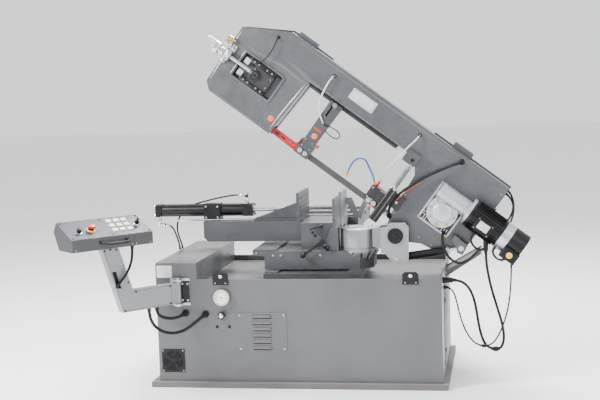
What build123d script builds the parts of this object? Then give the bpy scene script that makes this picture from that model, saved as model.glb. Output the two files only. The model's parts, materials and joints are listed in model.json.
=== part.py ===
"""Horizontal metal-cutting band saw with a raised swivelling bow on a cabinet base. Millimetres, +Z up."""

import math
import os

from build123d import *

# ---- base and cabinet
base_w, base_d, base_t = 1650, 990, 30
anchor_x, anchor_y, anchor_r = 1618, 880, 7
cab_x0, cab_x1, cab_y0, cab_y1, cab_top = -787, 796, -463, 488, 603
tray_floor, rim, sheet = 570, 12, 4
box_x1, box_top = -550, 696

# ---- bed, jaws and rollers
turn_x, turn_y, drum_r = 318, -120, 104
bed_low, bed_mid, table_z = 618, 722, 870
jaw_fixed_x, jaw_moving_x = 205, -30
vise_y, vise_z, tube_r, rod_r = 95, 932, 32, 12
roller_r, roller_ys = 22, (380, 620, 860)

# ---- bow, measured in its own plane from the pivot
pivot_x, pivot_z, bow_angle = 537, 810, 37
frame_front, frame_back, skin = 190, 88, 6
wheel_r, wheel_y, idler_x, drive_x = 205, 262, -1163, 130
blade_w, blade_t, blade_h = 34, 1.3, 120
shaft_r, fit = 22, 0.05
motor_y, motor_h, motor_r = 354, 284, 80
base_pin, rod_pin, lift_h, lift_r = (541, 683), (332, 156), 221, 22
hinge_up, hinge_h = 602, 89

# ---- control pendant
hinge_x, hinge_y, arm_dir = -652, -490, 230
panel_w, panel_d, panel_tilt, panel_h = 488, 180, 26.6, 65

c, s = math.cos(math.radians(bow_angle)), math.sin(math.radians(bow_angle))
FRONT = Plane(origin=(0, 0, 0), x_dir=(1, 0, 0), z_dir=(0, -1, 0))
SIDE = Plane(origin=(0, 0, 0), x_dir=(0, 1, 0), z_dir=(1, 0, 0))
BOW = Plane(origin=(pivot_x, 0, pivot_z), x_dir=(c, 0, -s), z_dir=(0, -1, 0))
BOW_LONG = Plane(origin=(pivot_x, 0, pivot_z), x_dir=(0, 1, 0), z_dir=(c, 0, -s))
BOW_UP = Plane(origin=(pivot_x, 0, pivot_z), x_dir=(c, 0, -s), z_dir=(s, 0, c))
ad = math.radians(arm_dir)
ax, ay = math.cos(ad), math.sin(ad)
ARM = Plane(origin=(hinge_x, hinge_y, 0), x_dir=(-ax, -ay, 0), z_dir=(-ay, ax, 0))


def box(x0, x1, y0, y1, z0, z1, mode=Mode.ADD):
    """Block between two corners of the row frame."""
    with Locations(((x0 + x1) / 2, (y0 + y1) / 2, (z0 + z1) / 2)):
        Box(x1 - x0, y1 - y0, z1 - z0, mode=mode)


def prism(plane, points, depth, mode=Mode.ADD):
    """Closed outline drawn on a plane and drawn out along its normal."""
    with BuildSketch(plane, mode=Mode.PRIVATE) as outline:
        with BuildLine():
            Polyline(*points, close=True)
        make_face()
    extrude(outline.sketch, amount=depth, mode=mode)


def slab(plane, x0, x1, y0, y1, depth, mode=Mode.ADD):
    """Rectangle on a plane, drawn out along its normal."""
    prism(plane, [(x0, y0), (x1, y0), (x1, y1), (x0, y1)], depth, mode)


def disc(plane, x, y, radius, depth, mode=Mode.ADD):
    """Round bar or bore standing on a plane."""
    with BuildSketch(plane, mode=Mode.PRIVATE) as outline:
        with Locations((x, y)):
            Circle(radius)
    extrude(outline.sketch, amount=depth, mode=mode)


def ring(plane, x, y, outer, inner, depth):
    """Washer or rim standing on a plane."""
    with BuildSketch(plane, mode=Mode.PRIVATE) as outline:
        with Locations((x, y)):
            Circle(outer)
            Circle(inner, mode=Mode.SUBTRACT)
    extrude(outline.sketch, amount=depth)


def hexes(plane, spots, across, depth):
    """Row of hexagon bolt heads standing on a plane."""
    with BuildSketch(plane, mode=Mode.PRIVATE) as outline:
        with Locations(*spots):
            RegularPolygon(across / 2, 6, major_radius=False)
    extrude(outline.sketch, amount=depth)


def shell(plane, points, depth, wall, floor):
    """Tray with an outline, a wall and a floor at the plane."""
    prism(plane, points, depth)
    with BuildSketch(plane.offset(floor), mode=Mode.PRIVATE) as inner:
        with BuildLine():
            Polyline(*points, close=True)
        make_face()
        offset(amount=-wall, kind=Kind.INTERSECTION, mode=Mode.REPLACE)
    extrude(inner.sketch, amount=depth, mode=Mode.SUBTRACT)


def bow_point(x, y, h):
    """Point of the bow's own plane in the row frame."""
    return (pivot_x + x * c + y * s, -h, pivot_z - x * s + y * c)


def route(points, diameter):
    """Cord through its points with the bends that its runs allow."""
    v = [Vector(*p) for p in points]
    radii = []
    for a, b, d in zip(v, v[1:], v[2:]):
        turn = math.radians((b - a).get_angle(d - b))
        radii.append(0.45 * min((b - a).length, (d - b).length) / math.tan(turn / 2))
    print("bend radii", [round(r) for r in radii], "for diameter", diameter)
    with BuildLine(mode=Mode.PRIVATE) as line:
        FilletPolyline(*points, radius=radii)
    path = line.wires()[0]
    with BuildSketch(Plane(origin=path @ 0, z_dir=path % 0), mode=Mode.PRIVATE) as section:
        Circle(diameter / 2)
    tube = sweep(section.sketch, path=path, mode=Mode.PRIVATE)
    share = tube.volume / (math.pi * diameter**2 / 4 * path.length)
    print("length", round(path.length), "volume against section", round(share, 4))
    add(tube)


def save(node, label):
    """Name a finished piece and write it out."""
    node.part.label = label
    export_step(node.part, f"parts/{label}.step")


os.makedirs("parts", exist_ok=True)

# ==== cabinet base ====
with BuildPart() as base_plate:
    box(-base_w / 2, base_w / 2, -base_d / 2, base_d / 2, 0, base_t)
    with GridLocations(anchor_x, anchor_y, 2, 2):
        Cylinder(anchor_r, 4 * base_t, mode=Mode.SUBTRACT)
save(base_plate, "base_plate")

with BuildPart() as cabinet:
    box(cab_x0, cab_x1, cab_y0, cab_y1, base_t, cab_top)
    box(cab_x0, box_x1, cab_y0, cab_y1, cab_top, box_top)
    fillet(cabinet.edges().filter_by(Axis.Z), 5)
    inner_y = (cab_y0 + sheet, cab_y1 - sheet)
    box(cab_x0 + sheet, cab_x1 - sheet, *inner_y, base_t + sheet, tray_floor - sheet, Mode.SUBTRACT)
    box(cab_x0 + sheet, box_x1 - sheet, *inner_y, tray_floor - sheet, box_top - sheet, Mode.SUBTRACT)
    box(box_x1, cab_x1 - rim, cab_y0 + rim, cab_y1 - rim, tray_floor, cab_top + 1, Mode.SUBTRACT)
save(cabinet, "cabinet")

louvre_z = [223 + 34.8 * i for i in range(6)]
with BuildPart() as louvre_panel:
    slab(FRONT.offset(-cab_y0), -327, -52, 203, 419, 3)
    for z in louvre_z:
        prism(SIDE.offset(-244), [(cab_y0 - 3, z - 9), (cab_y0 - 12, z - 5), (cab_y0 - 3, z + 7)], 106)
    for x in (-313, -66):
        for z in (217, 405):
            disc(FRONT.offset(-cab_y0 + 3), x, z, 6, 3)
save(louvre_panel, "louvre_panel")

with BuildPart() as fan_grille:
    slab(FRONT.offset(-cab_y0), -767, -637, 82, 212, 4)
    disc(FRONT.offset(-cab_y0 - 1), -702, 147, 58, 8, Mode.SUBTRACT)
    for r in (58, 44, 30, 16):
        ring(FRONT.offset(-cab_y0 + 1), -702, 147, r + 1, r - 2, 3)
    for angle in (45, 135):
        with Locations(Location((-702, cab_y0 - 2.5, 147), (0, angle, 0))):
            Box(120, 3, 5)
save(fan_grille, "fan_grille")

gauge_x, gauge_z = -408, 507
with BuildPart() as pressure_gauge:
    disc(FRONT.offset(-cab_y0), gauge_x, gauge_z, 38, 26)
    ring(FRONT.offset(-cab_y0 + 26), gauge_x, gauge_z, 44, 36, 8)
    disc(FRONT.offset(-cab_y0 + 26), gauge_x, gauge_z, 36, 3)
save(pressure_gauge, "pressure_gauge")

with BuildPart() as valve_knob:
    disc(FRONT.offset(-cab_y0 + 0.5), -413, 405, 8, 22)
    disc(FRONT.offset(-cab_y0 + 14), -413, 405, 15, 16)
    with Locations(FRONT.offset(-cab_y0 + 15)):
        with Locations((-413, 405)):
            with PolarLocations(15, 5):
                Cylinder(7, 14, align=(Align.CENTER, Align.CENTER, Align.MIN))
save(valve_knob, "valve_knob")

with BuildPart() as corner_brackets:
    for x0 in (-459, 588):
        plate = [(x0, 574), (x0 + 87, 574), (x0 + 87, 628), (x0 + 74, 641), (x0 + 13, 641), (x0, 628)]
        prism(FRONT.offset(-cab_y0), plate, 8)
        disc(FRONT.offset(-cab_y0 - 1), x0 + 43.5, 620, 7, 12, Mode.SUBTRACT)
save(corner_brackets, "corner_brackets")

# ==== bed with the beam that carries the vise cylinder ====
with BuildPart() as bed:
    box(-205, 350, -309, 230, tray_floor, 609)
    for x0 in (-200, 272):
        box(x0, x0 + 74, -300, 230, 609, bed_low)
    plan = [(-215, -215), (330, -215), (402, -140), (402, 10), (330, 90), (330, 260), (-215, 260)]
    prism(Plane.XY.offset(bed_low), plan, bed_mid - bed_low)
    box(-283, -150, -215, 260, 697, 731)
    box(-16, jaw_fixed_x, turn_y + 8, 260, bed_mid, table_z)
    beam = [(-625, 775), (-600, 750), (-40, 750), (-16, 722), (-16, table_z), (-625, table_z)]
    prism(FRONT.offset(-170), beam, 150)
    with Locations((turn_x, turn_y, (652 + bed_mid) / 2)):
        Cone(62, 107, bed_mid - 652)
    with Locations((turn_x, turn_y, 0)):
        with PolarLocations(0, 14):
            with BuildSketch(Plane.XZ.offset(-5), mode=Mode.PRIVATE) as rib:
                with BuildLine():
                    Polyline((50, 652), (68, 652), (112, 712), (112, 720), (50, 720), close=True)
                make_face()
            add(extrude(rib.sketch, amount=10, mode=Mode.PRIVATE))
    box(-200, 200, -200, 245, bed_low - 1, bed_mid - 15, Mode.SUBTRACT)
    box(0, 190, -96, 244, bed_mid - 20, table_z - 16, Mode.SUBTRACT)
    box(-600, -16, 34, 156, 766, table_z - 14, Mode.SUBTRACT)
    with Locations((turn_x, turn_y, bed_mid)):
        Cylinder(30 + fit, 140, mode=Mode.SUBTRACT)
save(bed, "bed")

with BuildPart() as rear_jaw:
    box(jaw_fixed_x, jaw_fixed_x + 15, turn_y + 8, 145, 850, 1045)
    box(jaw_fixed_x, jaw_fixed_x + 15, 40, 120, 790, 850)
    vee = [(220, 955), (220, 990), (250, 990), (285, 905), (318, 972), (342, 960), (305, 872), (262, 872)]
    prism(FRONT.offset(-142), vee, 12)
save(rear_jaw, "rear_jaw")

with BuildPart() as front_jaw:
    box(jaw_fixed_x, jaw_fixed_x + 15, -376, turn_y - 14, 866, 1032)
    box(186, 212, -208, -150, 742, 872)
    box(120, 212, -208, -136, bed_mid + 1, 742)
    prism(FRONT.offset(196), [(120, 742), (190, 742), (190, 850), (172, 850)], 12)
    with Locations(Location((96, -214, 796), (0, -38, 0))):
        Box(34, 30, 118)
    disc(FRONT.offset(229), 116, 770, 10, 4)
save(front_jaw, "front_jaw")

with BuildPart() as clamp_lever:
    disc(FRONT.offset(233.5), 116, 770, 15, 22)
    prism(FRONT.offset(240), [(116, 763), (20, 700), (14, 710), (110, 776)], 10)
    with BuildSketch(FRONT.offset(232)):
        with Locations((12, 702)):
            Circle(13)
    extrude(amount=26)
save(clamp_lever, "clamp_lever")

# ==== vise ====
with BuildPart() as vise_cylinder:
    with BuildSketch(SIDE.offset(-895)):
        with Locations((vise_y, vise_z)):
            Circle(tube_r)
    extrude(amount=560)
    slab(SIDE.offset(-930), vise_y - 36, vise_y + 36, vise_z - 36, vise_z + 36, 36)
    slab(SIDE.offset(-395), vise_y - 36, vise_y + 36, vise_z - 36, vise_z + 36, 62)
    slab(SIDE.offset(-630), vise_y - 40, vise_y + 40, table_z, vise_z + 40, 100)
    disc(Plane.XY.offset(vise_z + 30), -375, vise_y, 10, 68)
    disc(SIDE.offset(-399), vise_y, 1018, 7, 26)
    disc(Plane.XY.offset(836), -912, vise_y, 9, 64)
    disc(SIDE.offset(-914), vise_y, 847, 6, 34)
    disc(SIDE.offset(-894), vise_y, vise_z, 27, 499, Mode.SUBTRACT)
    disc(SIDE.offset(-400), vise_y, vise_z, rod_r + fit, 70, Mode.SUBTRACT)
save(vise_cylinder, "vise_cylinder")

with BuildPart() as vise_rod:
    disc(SIDE.offset(-700), vise_y, vise_z, rod_r, 624)
    disc(SIDE.offset(-700), vise_y, vise_z, 27 - fit, 32)
    disc(SIDE.offset(-800), 48, table_z + 7, 5, 480)
save(vise_rod, "vise_rod")

with BuildPart() as vise_jaw:
    box(jaw_moving_x - 16, jaw_moving_x, -80, 281, table_z + 2, 1040)
    box(-320, jaw_moving_x - 16, 30, 160, table_z + 1, 883)
    prism(FRONT.offset(-58), [(-318, 883), (jaw_moving_x - 16, 883), (jaw_moving_x - 16, 981)], 14)
    disc(SIDE.offset(-76), vise_y, vise_z, 22, 30)
save(vise_jaw, "vise_jaw")

# ==== infeed rollers ====
with BuildPart() as roller_frame:
    for x0 in (-192, 258):
        box(x0, x0 + 10, 270, 900, 790, 862)
    box(-192, 268, 260, 270, 790, 862)
    box(-182, 258, 892, 900, 790, 830)
    for y in roller_ys:
        disc(SIDE.offset(-200), y, table_z - roller_r, 8 + fit, 480, Mode.SUBTRACT)
save(roller_frame, "roller_frame")
for number, y in enumerate(roller_ys, 1):
    with BuildPart() as roller:
        disc(SIDE.offset(-180), y, table_z - roller_r, roller_r, 436)
        disc(SIDE.offset(-190), y, table_z - roller_r, 8, 456)
    save(roller, f"roller_{number}")

# ==== chip chute and pendant bracket ====
with BuildPart() as chip_chute:
    ramp = [
        (cab_x1, 536), (cab_x1, 566), (992, 676), (1000, 676),
        (1000, 670), (cab_x1 + 6, 560), (cab_x1 + 6, 536),
    ]
    prism(FRONT.offset(-240), ramp, 240)
    for y0 in (0, 236):
        prism(FRONT.offset(-y0 - 4), [(cab_x1, 536), (cab_x1, 573), (992, 683), (1000, 683), (1000, 668)], 4)
save(chip_chute, "chip_chute")

with BuildPart() as pendant_bracket:
    box(hinge_x - 48, hinge_x + 62, cab_y0 - 8, cab_y0, 462, 612)
    for z0 in (464, 598):
        with BuildSketch(Plane.XY.offset(z0)):
            with Locations((hinge_x, hinge_y)):
                Circle(26)
            with Locations((hinge_x, (hinge_y + cab_y0) / 2)):
                Rectangle(52, cab_y0 - hinge_y)
        extrude(amount=10)
    with Locations((hinge_x, hinge_y, 537)):
        Cylinder(9, 160)
save(pendant_bracket, "pendant_bracket")

# ==== swivelling head: turntable, arm and pivot plates ====
PLATE_H = 246
with BuildPart() as turntable:
    with Locations((turn_x, turn_y, (bed_mid + 2 + 845) / 2)):
        Cylinder(drum_r, 845 - bed_mid - 2)
        Cylinder(drum_r - 14, 845 - bed_mid - 34, mode=Mode.SUBTRACT)
    with Locations((turn_x, turn_y, bed_mid + 16)):
        Cylinder(30, 150)
    prism(FRONT.offset(40), [(404, 843), (478, 854), (478, 728), (404, 745)], 172)
    prism(FRONT.offset(12), [(455, 851), (478, 854), (478, 728), (455, 728)], PLATE_H - 12)
    front = [
        (485, 859), (507, 883), (590, 883), (611, 860), (607, 655), (524, 655), (478, 712), (455, 716),
        (455, 851),
    ]
    prism(FRONT.offset(PLATE_H), front, 16)
    prism(FRONT.offset(12), [(455, 851), (500, 868), (556, 866), (600, 832), (600, 750), (455, 750)], 18)
    slab(FRONT.offset(84), 440, 480, 794, 870, 110, Mode.SUBTRACT)
    disc(FRONT.offset(0), pivot_x, pivot_z, shaft_r + fit, 280, Mode.SUBTRACT)
    disc(FRONT.offset(PLATE_H - 50), base_pin[0], base_pin[1], 10, 66)
save(turntable, "turntable")

with BuildPart() as pivot_shaft:
    disc(FRONT.offset(6), pivot_x, pivot_z, shaft_r, 256)
    disc(FRONT.offset(262), pivot_x, pivot_z, 40, 12)
    disc(FRONT.offset(274), pivot_x, pivot_z, 12, 4)
save(pivot_shaft, "pivot_shaft")

# ==== lift cylinder ====
bx, _, bz = bow_point(rod_pin[0], rod_pin[1], lift_h)
lift_len = math.hypot(bx - base_pin[0], bz - base_pin[1])
la = ((bx - base_pin[0]) / lift_len, 0, (bz - base_pin[1]) / lift_len)
LIFT = Plane(origin=(base_pin[0], -lift_h, base_pin[1]), x_dir=(0, 1, 0), z_dir=la)
with BuildPart() as lift_barrel:
    disc(LIFT.offset(30), 0, 0, lift_r, 262)
    disc(FRONT.offset(lift_h - 20), base_pin[0], base_pin[1], 24, 40)
    disc(LIFT.offset(14), 0, 0, 20, 20)
    disc(LIFT.offset(40), 0, 0, 18, 240, Mode.SUBTRACT)
    disc(LIFT.offset(270), 0, 0, 10 + fit, 40, Mode.SUBTRACT)
    disc(FRONT.offset(lift_h - 30), base_pin[0], base_pin[1], 10 + fit, 60, Mode.SUBTRACT)
save(lift_barrel, "lift_barrel")

with BuildPart() as lift_rod:
    disc(LIFT.offset(150), 0, 0, 10, lift_len - 170)
    disc(LIFT.offset(150), 0, 0, 18 - fit, 24)
    disc(FRONT.offset(lift_h - 8), bx, bz, 26, 16)
    disc(FRONT.offset(lift_h - 9), bx, bz, 16, 18, Mode.SUBTRACT)
save(lift_rod, "lift_rod")

# ==== bow frame ====
outline = [
    (-1380, 76), (-1380, 443), (-1133, 578), (352, 572), (352, 185), (255, 58), (140, 38), (86, 8), (60, -10),
    (-60, -10), (-90, 57), (-100, 200), (-112, 330), (-172, 409), (-889, 409), (-914, 37), (-1337, 37),
]
with BuildPart() as bow_frame:
    prism(BOW.offset(frame_back), outline, frame_front - frame_back)
    with BuildSketch(BOW.offset(frame_back), mode=Mode.PRIVATE) as hollow:
        with BuildLine():
            Polyline(*outline, close=True)
        make_face()
        offset(amount=-skin, kind=Kind.INTERSECTION, mode=Mode.REPLACE)
    extrude(hollow.sketch, amount=frame_front - frame_back - skin, mode=Mode.SUBTRACT)
    prism(BOW.offset(82), [(-860, 412), (-172, 412), (-172, 574), (-860, 574)], 6)
    slab(BOW.offset(frame_front - skin - 1), -1275, -1028, 191, 336, skin + 2, Mode.SUBTRACT)
    slab(BOW.offset(90), -1020, -870, 30, 92, 70, Mode.SUBTRACT)
    slab(BOW.offset(90), -116, -60, 30, 92, 70, Mode.SUBTRACT)
    disc(BOW.offset(44), 0, 0, 44, 142)
    disc(BOW.offset(40), 0, 0, shaft_r + fit, 155, Mode.SUBTRACT)
    for y in (204, 323):
        slab(BOW.offset(frame_front), -1228, -1066, y - 13, y + 13, 14)
    for x in (-1099, -37):
        slab(BOW.offset(90), x, x + 125, 570, 606, 40)
        disc(BOW_LONG.offset(x - 1), -hinge_h, hinge_up, 6.4, 127, Mode.SUBTRACT)
    slab(BOW.offset(frame_front), -1374, -1336, 236, 298, 48)
    disc(BOW_LONG.offset(-1380), -214, 267, 10 + fit, 60, Mode.SUBTRACT)
    for h in (200, 232):
        prism(BOW.offset(h), [(262, 165), (262, 195), (352, 190), (360, 130), (330, 122), (308, 142)], 10)
    slab(BOW.offset(frame_front - 1), 262, 295, 165, 195, 53)
    disc(BOW.offset(198), rod_pin[0], rod_pin[1], 10, 46)
    disc(BOW.offset(frame_front - skin - 1), drive_x, wheel_y, 20 + fit, skin + 2, Mode.SUBTRACT)
save(bow_frame, "bow_frame")

left_outline = [
    (-1386, 70), (-1386, 446), (-1138, 587), (-866, 584), (-866, 414), (-885, 404), (-911, 31), (-1340, 31),
]
right_outline = [
    (-160, 581), (361, 579), (361, 182), (264, 50), (110, 30), (70, 62), (-94, 62), (-113, 330), (-160, 398),
]
for label, points, hinge_at in (("left_cover", left_outline, -1094), ("right_cover", right_outline, -32)):
    with BuildPart() as cover:
        shell(BOW.offset(36), points, 50, 3, 3)
        slab(BOW.offset(80), hinge_at, hinge_at + 115, 576, 602, 6)
        disc(BOW_LONG.offset(hinge_at), -hinge_h, hinge_up, 6, 115)
    save(cover, label)

with BuildPart() as arm_rail:
    slab(BOW.offset(134), -884, -283, 384, 409, 40)
save(arm_rail, "arm_rail")


# ==== wheels and blade ====
def wheel(x):
    """Cast wheel with a rim, a thin web with holes and a hub."""
    ring(BOW.offset(103), x, wheel_y, wheel_r, 183, blade_w)
    ring(BOW.offset(114), x, wheel_y, 184, 44, 12)
    ring(BOW.offset(103), x, wheel_y, 45, 20 + fit, blade_w)
    with Locations(BOW.offset(110)):
        with Locations((x, wheel_y)):
            with PolarLocations(114, 6):
                Cylinder(36, 40, mode=Mode.SUBTRACT)


with BuildPart() as idler_wheel:
    wheel(idler_x)
save(idler_wheel, "idler_wheel")

with BuildPart() as drive_wheel:
    wheel(drive_x)
    disc(BOW.offset(100), drive_x, wheel_y, 20, 110)
save(drive_wheel, "drive_wheel")

run_y = wheel_y - wheel_r - 0.3 - blade_t / 2
flat_left, tilt_left, tilt_right, flat_right = -1020, -852, -150, 30
with BuildPart() as blade:
    with BuildSketch(BOW.offset(blade_h - blade_w / 2)):
        with Locations(((idler_x + drive_x) / 2, wheel_y)):
            SlotCenterToCenter(drive_x - idler_x, 2 * (wheel_r + 0.3 + blade_t))
            SlotCenterToCenter(drive_x - idler_x, 2 * (wheel_r + 0.3), mode=Mode.SUBTRACT)
    extrude(amount=blade_w)
    slab(BOW.offset(60), flat_left, flat_right, run_y - 40, run_y + 40, 120, Mode.SUBTRACT)
    for start, end, first, last in ((flat_left, tilt_left, 0, 90), (tilt_right, flat_right, 90, 180)):
        for i in range(7):
            x = start + (end - start) * i / 6
            ox, oy, oz = bow_point(x, run_y, blade_h)
            with BuildSketch(Plane(origin=(ox, oy, oz), x_dir=(0, -1, 0), z_dir=(c, 0, -s))):
                Rectangle(blade_w, blade_t, rotation=first + (last - first) * i / 6)
        loft(ruled=True)
    edge_y = run_y - blade_w / 2
    slab(BOW.offset(blade_h - blade_t / 2), tilt_left, tilt_right, edge_y, edge_y + blade_w, blade_t)
save(blade, "blade")

# ==== blade guides and guard ====
with BuildPart() as left_guide_arm:
    prism(BOW.offset(182), [(-733, 88), (-660, 88), (-652, 397), (-733, 397)], 22)
    slab(BOW.offset(181), -713, -700, 300, 388, 24, Mode.SUBTRACT)
    slab(BOW.offset(128), -733, -655, 362, 382, 54)
    slab(BOW.offset(98), -745, -655, 40, 130, 84)
    slab(BOW.offset(blade_h - 2), -750, -650, 30, run_y + 22, 4, Mode.SUBTRACT)
    disc(BOW.offset(204), -694, 386, 12, 12)
save(left_guide_arm, "left_guide_arm")

with BuildPart() as blade_guard:
    prism(BOW.offset(148), [(-919, 46), (-746, 38), (-746, 110), (-762, 82), (-919, 82)], 3)
    slab(BOW.offset(148), -750, -745, 60, 128, 24)
save(blade_guard, "blade_guard")

with BuildPart() as right_guide_arm:
    slab(BOW.offset(222), -180, -130, -7, 211, 28)
    slab(BOW.offset(98), -271, -185, 60, 150, 84)
    disc(BOW_UP.offset(148), -250, -156, 7, 36)
    slab(BOW.offset(182), -215, -150, 90, 148, 40)
    slab(BOW.offset(190), -135, -70, 110, 190, 32)
    slab(BOW.offset(blade_h - 2), -280, -180, 30, run_y + 22, 4, Mode.SUBTRACT)
    slab(BOW.offset(190), -220, -142, 363, 435, 44)
    disc(BOW_UP.offset(208), -160, -230, 7, 160)
    for y in range(222, 352, 9):
        with Locations(BOW_UP.offset(y)):
            with Locations((-160, -230)):
                Cylinder(13, 5)
save(right_guide_arm, "right_guide_arm")

# ==== blade tension ====
with BuildPart() as tension_slide:
    slab(BOW.offset(176), -1190, -1062, 218, 309, 34)
    disc(BOW.offset(96), idler_x, wheel_y, 20, 82)
    disc(BOW.offset(210), idler_x, wheel_y, 30, 14)
    disc(BOW.offset(98), idler_x, wheel_y, 32, 4)
save(tension_slide, "tension_slide")

with BuildPart() as tension_screw:
    with BuildSketch(Plane(origin=bow_point(-1470, 267, 214), x_dir=(0, -1, 0), z_dir=(s, 0, c))):
        with BuildLine():
            Polyline(
                (0, 0), (10, 0), (10, 24), (34, 24), (34, 54), (14, 54), (14, 62), (22, 62), (22, 88),
                (10, 88), (10, 274), (0, 274), close=True,
            )
        make_face()
    revolve(axis=Axis(bow_point(-1470, 267, 214), (c, 0, -s)))
    disc(BOW_LONG.offset(-1500), -214, 291, 8, 66)
save(tension_screw, "tension_screw")

# ==== gearbox and motor ====
with BuildPart() as gearbox:
    slab(BOW.offset(frame_front), 33, 235, 151, 396, 20)
    slab(BOW.offset(frame_front + 14), 43, 225, 161, 386, 10, Mode.SUBTRACT)
    disc(BOW.offset(frame_front + 14), drive_x, wheel_y, 84, 92)
    disc(BOW.offset(296), drive_x, wheel_y, 50, 10)
    disc(BOW_LONG.offset(48), -motor_h + 14, motor_y, 46, 190)
    disc(BOW_LONG.offset(236), -motor_h, motor_y, 77, 16)
    disc(BOW.offset(frame_front - 1), drive_x, wheel_y, 20 + fit, 24, Mode.SUBTRACT)
    for angle in range(0, 360, 45):
        a = math.radians(angle + 10)
        hexes(BOW.offset(296), [(drive_x + 70 * math.cos(a), wheel_y + 70 * math.sin(a))], 12, 6)
save(gearbox, "gearbox")

with BuildPart() as motor:
    disc(BOW_LONG.offset(252), -motor_h, motor_y, motor_r - 4, 198)
    disc(BOW_LONG.offset(252), -motor_h, motor_y, motor_r + 2, 14)
    with Locations(BOW_LONG.offset(356)):
        with Locations((-motor_h, motor_y)):
            with PolarLocations(motor_r - 2, 30):
                Box(12, 3, 170)
    disc(BOW_LONG.offset(450), -motor_h, motor_y, motor_r, 145)
    disc(BOW_LONG.offset(453), -motor_h, motor_y, motor_r - 4, 138, Mode.SUBTRACT)
    gx, gy, gz = bow_point(440, 236, motor_h)
    disc(Plane.XY.offset(gz), gx, gy, 14, 60)
    slab(BOW.offset(motor_h + 60), 300, 404, 296, 374, 26)
    slab(BOW.offset(motor_h + 44), 505, 600, 262, 326, 46)
    disc(BOW_LONG.offset(260), -motor_h, motor_y, 13, 200, Mode.SUBTRACT)
    disc(BOW_LONG.offset(453), -motor_h, motor_y, motor_r - 4, 138, Mode.SUBTRACT)
save(motor, "motor")

with BuildPart() as motor_rotor:
    disc(BOW_LONG.offset(262), -motor_h, motor_y, 12.95, 305)
    disc(BOW_LONG.offset(478), -motor_h, motor_y, 30, 60)
    with Locations(BOW_LONG.offset(508)):
        with Locations((-motor_h, motor_y)):
            with PolarLocations(46, 9):
                Box(40, 3, 56)
save(motor_rotor, "motor_rotor")

# ==== control pendant ====
with BuildPart() as pendant_arm:
    profile = [(-16, 479), (-368, 479), (-481, 836.8), (-384, 836.8), (-303, 594), (-16, 594)]
    prism(ARM.offset(-22), profile, 44)
    slab(ARM.offset(-60), -48, -10, 470, 600, 120, Mode.SUBTRACT)
    disc(Plane.XY.offset(476), hinge_x, hinge_y, 17, 120)
    slab(ARM.offset(-12), -60, -4, 479, 594, 24)
    disc(Plane.XY.offset(440), hinge_x, hinge_y, 9 + fit, 200, Mode.SUBTRACT)
    prism(ARM.offset(10), [(-372, 612), (-400, 612), (-428, 706), (-400, 706)], 14, Mode.SUBTRACT)
save(pendant_arm, "pendant_arm")

# panel frame: x along its width, y up its slope, z out of its face
pt = math.radians(panel_tilt)
wx, wy = -ax, -ay
nx, ny = wy, -wx
front_x = hinge_x + 434 * ax + 63 * nx - panel_w / 2 * wx
front_y = hinge_y + 434 * ay + 63 * ny - panel_w / 2 * wy
face_n = (nx * math.sin(pt), ny * math.sin(pt), math.cos(pt))
FACE = Plane(origin=(front_x, front_y, 903), x_dir=(wx, wy, 0), z_dir=face_n)
END = Plane(origin=(front_x, front_y, 903), x_dir=(-nx, -ny, 0), z_dir=(wx, wy, 0))
rise, reach = panel_d * math.sin(pt), panel_d * math.cos(pt)
buttons = [(292 + 46 * i - 4 * j, 138 - 44 * j) for j in range(3) for i in range(3)]
stop_at, knob_at, key_at = (152, 78), (74, 66), (437, 86)
with BuildPart() as pendant_box:
    side = [(0, 0), (reach, rise), (reach + 28, rise - 50), (reach - 20, -62), (12, -66), (0, -panel_h)]
    prism(END, side, panel_w)
    with BuildSketch(END.offset(3), mode=Mode.PRIVATE) as inside:
        with BuildLine():
            Polyline(*side, close=True)
        make_face()
        offset(amount=-3, kind=Kind.INTERSECTION, mode=Mode.REPLACE)
    extrude(inside.sketch, amount=panel_w - 6, mode=Mode.SUBTRACT)
    for x, y in buttons:
        slab(FACE.offset(-6), x - 13.4, x + 13.4, y - 13.4, y + 13.4, 12, Mode.SUBTRACT)
    disc(FACE.offset(-6), *stop_at, 11 + fit, 12, Mode.SUBTRACT)
    disc(FACE.offset(-6), *knob_at, 13 + fit, 12, Mode.SUBTRACT)
    disc(FACE.offset(-6), *key_at, 14 + fit, 12, Mode.SUBTRACT)
save(pendant_box, "pendant_box")

out = Axis((0, 0, 0), face_n)
for number, (x, y) in enumerate(buttons, 1):
    with BuildPart() as button:
        slab(FACE.offset(-6), x - 13, x + 13, y - 13, y + 13, 13.5)
        fillet(button.edges().group_by(out)[-1], 1.5)
    save(button, f"button_{number}")

with BuildPart() as e_stop:
    disc(FACE.offset(-7), *stop_at, 11, 26)
    disc(FACE.offset(18), *stop_at, 20, 14)
    fillet(e_stop.edges().filter_by(GeomType.CIRCLE).group_by(out)[-1], 6)
save(e_stop, "e_stop")

with BuildPart() as selector_knob:
    disc(FACE.offset(-7), *knob_at, 13, 26)
    slab(FACE.offset(18), 70, 78, 54, 78, 6)
save(selector_knob, "selector_knob")

with BuildPart() as key_switch:
    disc(FACE.offset(-7), *key_at, 14, 30)
    slab(FACE.offset(22), 434.5, 439.5, 80, 92, 14)
    disc(FACE.offset(34), *key_at, 10, 2)
save(key_switch, "key_switch")

# ==== cords ====
def in_bow(points):
    """Points of the bow's own plane in the row frame."""
    return [bow_point(*p) for p in points]


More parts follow.
